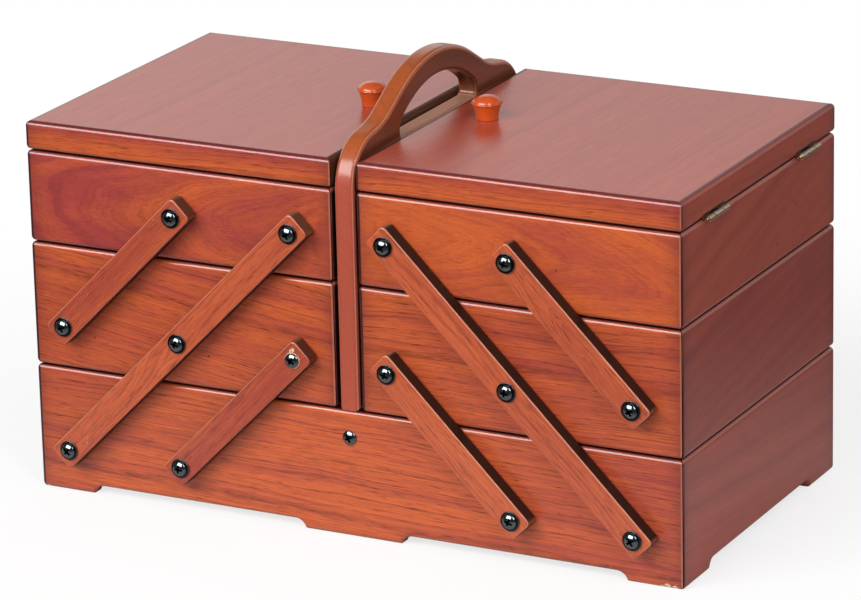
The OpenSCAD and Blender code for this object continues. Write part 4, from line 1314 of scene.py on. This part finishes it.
class SEWINGBOX_OT_hinges(bpy.types.Operator):
    """Makes the butt hinges of the lids with their pins and leaf screws, and the knobs' screws"""

    bl_idname = "sewing_box.hinges"
    bl_label = "Hinges"

    def execute(self, context):
        s = settings().hinges
        half, middle = s.long / 2, s.middle / 2
        outer = [(-half, -middle - s.gap), (middle + s.gap, half)]
        for side in SIDES:
            tray_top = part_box(f"{side}_top_tray_outer_end")[1].z
            lid_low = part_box(f"{side}_lid_frame")[0].z
            for body, face_z, up, stretches in (
                (f"{side}_top_tray", tray_top, False, outer),
                (f"{side}_lid", lid_low, True, [(-middle, middle)]),
            ):
                leaves = joined([hinge_leaf(y, face_z, up, stretches) for y in (-s.place, s.place)])
                seat = face_z + (-PROUD if up else PROUD)
                places = [y + d for y in (-s.place, s.place) for d in (-s.screw_place, s.screw_place)]
                screws = [leaf_screw(y, seat, up) for y in places]
                for name, shape, node in (
                    ("rolled_leaves", leaves, "hinge_leaves"), ("leaf_screws", joined(screws), "screws"),
                ):
                    shape = mirrored_to(side, shape)
                    make_piece(f"{body}_{name}", shape, aged_rolled_brass(), body, f"{body}_{node}")
            finish_node(f"{side}_hinge_pins", aged_rolled_brass())
            # The knob's screw stands on its head under the lid's panel
            low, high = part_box(f"{side}_knob")
            r, top, end = 1.8 * MM, SHANK_IN_HEAD, -12 * MM
            shank = lathe([(0, top), (r, top), (r, end + MM), (MM, end), (0, end)], 24)
            points, faces = joined([pan_head(0.3), shank])
            points = points * (1, -1, -1) + ((low.x + high.x) / 2, 0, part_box(f"{side}_lid_panel")[0].z)
            make_piece(
                f"{side}_knob_screw", (points, faces), black_nickelled_steel(), f"{side}_lid",
                f"{side}_lid_screws", smooth=50,
            )
        return {"FINISHED"}


class SEWINGBOX_OT_knobs(bpy.types.Operator):
    """Makes the two turned knobs"""

    bl_idname = "sewing_box.knobs"
    bl_label = "Knobs"

    def execute(self, context):
        s = settings().knobs
        for side in SIDES:
            low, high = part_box(f"{side}_knob")
            foot, rim, e = s.foot / 2, s.rim / 2, s.rim_height / 2
            under_top = 3.3 * MM
            rim_z = high.z - low.z - under_top
            u = np.linspace(0, 1, 16)
            flare = np.column_stack((foot + (rim - e - foot) * u**1.7, (rim_z - e) * u))[2:]
            # Top: a low cap, a turned line, and the rounded lip
            inner = rim - 0.8 * e
            t = np.linspace(0, 1, 18) ** 0.7 * np.pi / 2
            cap = np.column_stack((inner * np.sin(t), rim_z + 0.2 * e + (s.dome - 0.2 * e) * np.cos(t)))
            line = [(inner + 0.02 * MM, rim_z + 0.05 * e)]
            lip = arc((rim - e, rim_z), e, 40, -80, 12)
            base = [(foot + 0.1 * MM, 0.5 * MM), (foot, 0.15 * MM), (foot - 0.3 * MM, 0), (0, 0)]
            points, faces = lathe(np.concatenate((cap, line, lip, flare[::-1], base)), 96)
            shape = points + ((low.x + high.x) / 2, 0, low.z), faces
            beech = orange_lacquered_beech()
            make_piece(f"{side}_knob_turned", shape, beech, f"{side}_lid", f"{side}_knob")
        return {"FINISHED"}


def matt_white_paper(name):
    """White paper: it bounces light as paper does, but with a painted pool of light near the object and
    painted shade towards the front, and in view it is white but for the object's shadow, which fades out with
    distance."""
    material, n = new_material(name)
    seen, mirrored = (n("LightPath", out=f"Is {kind} Ray") for kind in ("Camera", "Glossy"))
    place = n("TexCoord", out="Object")
    away = n("VectorMath LENGTH", place)
    fade = n("MapRange", away, 0.3, 0.6, 0.74, 1.0)
    # Painted pool of light: the sheet bounces and mirrors most light near the object, less in the room round
    # it
    dim = n("MapRange", away, 0.26, 0.5, 0.68, 0.2)
    # Painted shade: towards the front the sheet is darker in reflections, as in the softbox's shade, so the
    # fronts mirror little of it
    shade = n("MapRange", n("SeparateXYZ", place, out="Y"), -0.4, 0.0, 0.35, 0.75)
    dim = n("Math MULTIPLY", dim, n("Mix FLOAT", mirrored, 1.0, shade))
    dim = n("Mix FLOAT", seen, dim, 1.0)
    bounce = n("BsdfDiffuse", n("CombineColor", dim, dim, dim))
    white = n("Emission", (1, 1, 1, 1), 1.0)
    n("OutputMaterial", n("MixShader", n("Math MULTIPLY", seen, fade), bounce, white))
    return material


def studio_room(name):
    """A world that is white in view. In reflections it is a white backdrop behind the object that ends at 30
    degrees up, and on the object it is a weak fill."""
    s = settings().studio
    world = bpy.data.worlds.new(name)
    world.use_nodes = True
    world.node_tree.nodes.clear()
    n = partial(add, world.node_tree)
    x, y, z = n("SeparateXYZ", n("TexCoord", out="Generated")).node.outputs
    low = n("MapRange", z, 0.42, 0.62, 1.0, 0.06, interpolation_type="SMOOTHSTEP")
    left = n("MapRange", x, -0.5, -0.28, 1.0, 0.55)
    back = n("MapRange", y, 0.0, 0.35, 0.12, 1.0, interpolation_type="SMOOTHSTEP")
    backdrop = n("Math MULTIPLY", n("Math MULTIPLY", n("Math MULTIPLY", low, left), back), s.backdrop)
    fill = n("Math MULTIPLY_ADD", x, 0.9 * s.fill, s.fill)
    light = n("LightPath").node.outputs
    strength = n("Mix FLOAT", light["Is Glossy Ray"], fill, backdrop)
    direct = n("Math MAXIMUM", light["Is Camera Ray"], light["Is Transmission Ray"])
    n("OutputWorld", n("Background", (1, 1, 1, 1), n("Mix FLOAT", direct, strength, 1.0)))
    return world


def place_camera():
    """A long lens, turned 27.6 degrees to the right of the front and 18.2 up."""
    azimuth, elevation, roll = (math.radians(v) for v in (27.62, 18.193, -1.354))
    target, distance = Vector((-0.00353, 0.0, 0.11204)), 2.86103
    level = math.cos(elevation)
    ahead = Vector((-math.sin(azimuth) * level, math.cos(azimuth) * level, -math.sin(elevation)))
    right = ahead.cross(Vector((0, 0, 1))).normalized()
    up = right.cross(ahead)
    right, up = right * math.cos(roll) + up * math.sin(roll), up * math.cos(roll) - right * math.sin(roll)
    lens = bpy.data.cameras.new("long_lens")
    lens.sensor_width, lens.lens = 36.0, 202.53
    lens.shift_x, lens.shift_y = 0.0019, -0.00199
    lens.clip_start, lens.clip_end = 0.1, 30.0
    camera = bpy.data.objects.new("long_lens", lens)
    bpy.context.scene.collection.objects.link(camera)
    turn = Matrix((right, up, -ahead)).transposed().to_4x4()
    camera.matrix_world = Matrix.Translation(target - ahead * distance) @ turn
    bpy.context.scene.camera = camera


class SEWINGBOX_OT_studio(bpy.types.Operator):
    """Makes the pale floor, the softboxes, the room's light and the camera"""

    bl_idname = "sewing_box.studio"
    bl_label = "Studio"

    def execute(self, context):
        s = settings().studio
        scene = bpy.context.scene
        scene.view_settings.view_transform = "Standard"
        mesh = bpy.data.meshes.new("studio_floor")
        reach = 6.0
        corners = rectangle(-reach, -reach, reach, reach).tolist()
        mesh.from_pydata([(*corner, 0) for corner in corners], [], [(0, 1, 2, 3)])
        floor = bpy.data.objects.new("studio_floor", mesh)
        scene.collection.objects.link(floor)
        mesh.materials.append(matt_white_paper("matt_white_paper"))
        scene.world = studio_room("studio_room")

        # The lids' panels take the light of the front softbox and of the strip from twins that they don't
        # mirror, so they keep their colour when they are seen against the light
        rest, panels = (bpy.data.collections.new(n) for n in ("all_but_lid_panels", "lid_panels"))
        for side in SIDES:
            for group, state in ((rest, "EXCLUDE"), (panels, "INCLUDE")):
                group.objects.link(bpy.data.objects[f"{side}_lid_top_panel"])
                group.collection_objects[-1].light_linking.link_state = state

        # One large softbox in front, a little to the left, a strip to the right of it, and a weak one that
        # lifts the back and isn't mirrored, all at one distance from the middle of the object
        middle, distance = Vector((0, 0, 0.12)), 2.2
        for name, way, size, energy, mirrored, lit in (
            ("front_softbox", (-0.27, -0.80, 0.55), (2.0, 1.1), s.key, True, rest),
            ("front_softbox_matt", (-0.27, -0.80, 0.55), (2.0, 1.1), s.key, False, panels),
            ("right_strip", (0.60, -0.56, 0.55), (0.5, 1.2), s.strip, True, rest),
            ("right_strip_matt", (0.60, -0.56, 0.55), (0.5, 1.2), s.strip, False, panels),
            ("rear_softbox", (-0.1, 0.93, 0.35), (1.6, 1.0), s.rear, False, None),
        ):
            way = Vector(way).normalized()
            lamp = bpy.data.lights.new(name, "AREA")
            lamp.shape, lamp.size, lamp.size_y, lamp.energy = "RECTANGLE", *size, energy
            softbox = bpy.data.objects.new(name, lamp)
            scene.collection.objects.link(softbox)
            softbox.location = middle + way * distance
            softbox.rotation_euler = way.to_track_quat("Z", "Y").to_euler()
            softbox.visible_glossy = mirrored
            softbox.light_linking.receiver_collection = lit
        place_camera()
        return {"FINISHED"}


OPERATORS = (
    SEWINGBOX_OT_base, SEWINGBOX_OT_trays, SEWINGBOX_OT_lids, SEWINGBOX_OT_handle, SEWINGBOX_OT_links,
    SEWINGBOX_OT_screws, SEWINGBOX_OT_hinges, SEWINGBOX_OT_knobs, SEWINGBOX_OT_studio,
)


class SEWINGBOX_PT_panel(bpy.types.Panel):
    """Lists the pieces of the sewing box and their settings"""

    bl_idname = "SEWINGBOX_PT_panel"
    bl_label = "Sewing box"
    bl_space_type = "VIEW_3D"
    bl_region_type = "UI"
    bl_category = "Sewing box"

    def draw(self, context):
        for operator in OPERATORS:
            self.layout.operator(operator.bl_idname)
        for group in SewingBoxSettings.__annotations__:
            box = self.layout.box()
            box.label(text=group.capitalize())
            holder = getattr(settings(), group)
            for name in type(holder).__annotations__:
                box.prop(holder, name)


CLASSES = (
    BoardSizes, HandleSizes, LinkSizes, ScrewSizes, HingeSizes, KnobSizes, Finishes, StudioSettings,
    SewingBoxSettings, *OPERATORS, SEWINGBOX_PT_panel,
)


def register():
    for cls in CLASSES:
        bpy.utils.register_class(cls)
    bpy.types.Scene.sewing_box = PointerProperty(type=SewingBoxSettings)


def unregister():
    del bpy.types.Scene.sewing_box
    for cls in reversed(CLASSES):
        bpy.utils.unregister_class(cls)


def main():
    register()
    for operator in OPERATORS:
        group, name = operator.bl_idname.split(".")
        getattr(getattr(bpy.ops, group), name)()


if __name__ == "__main__":
    main()
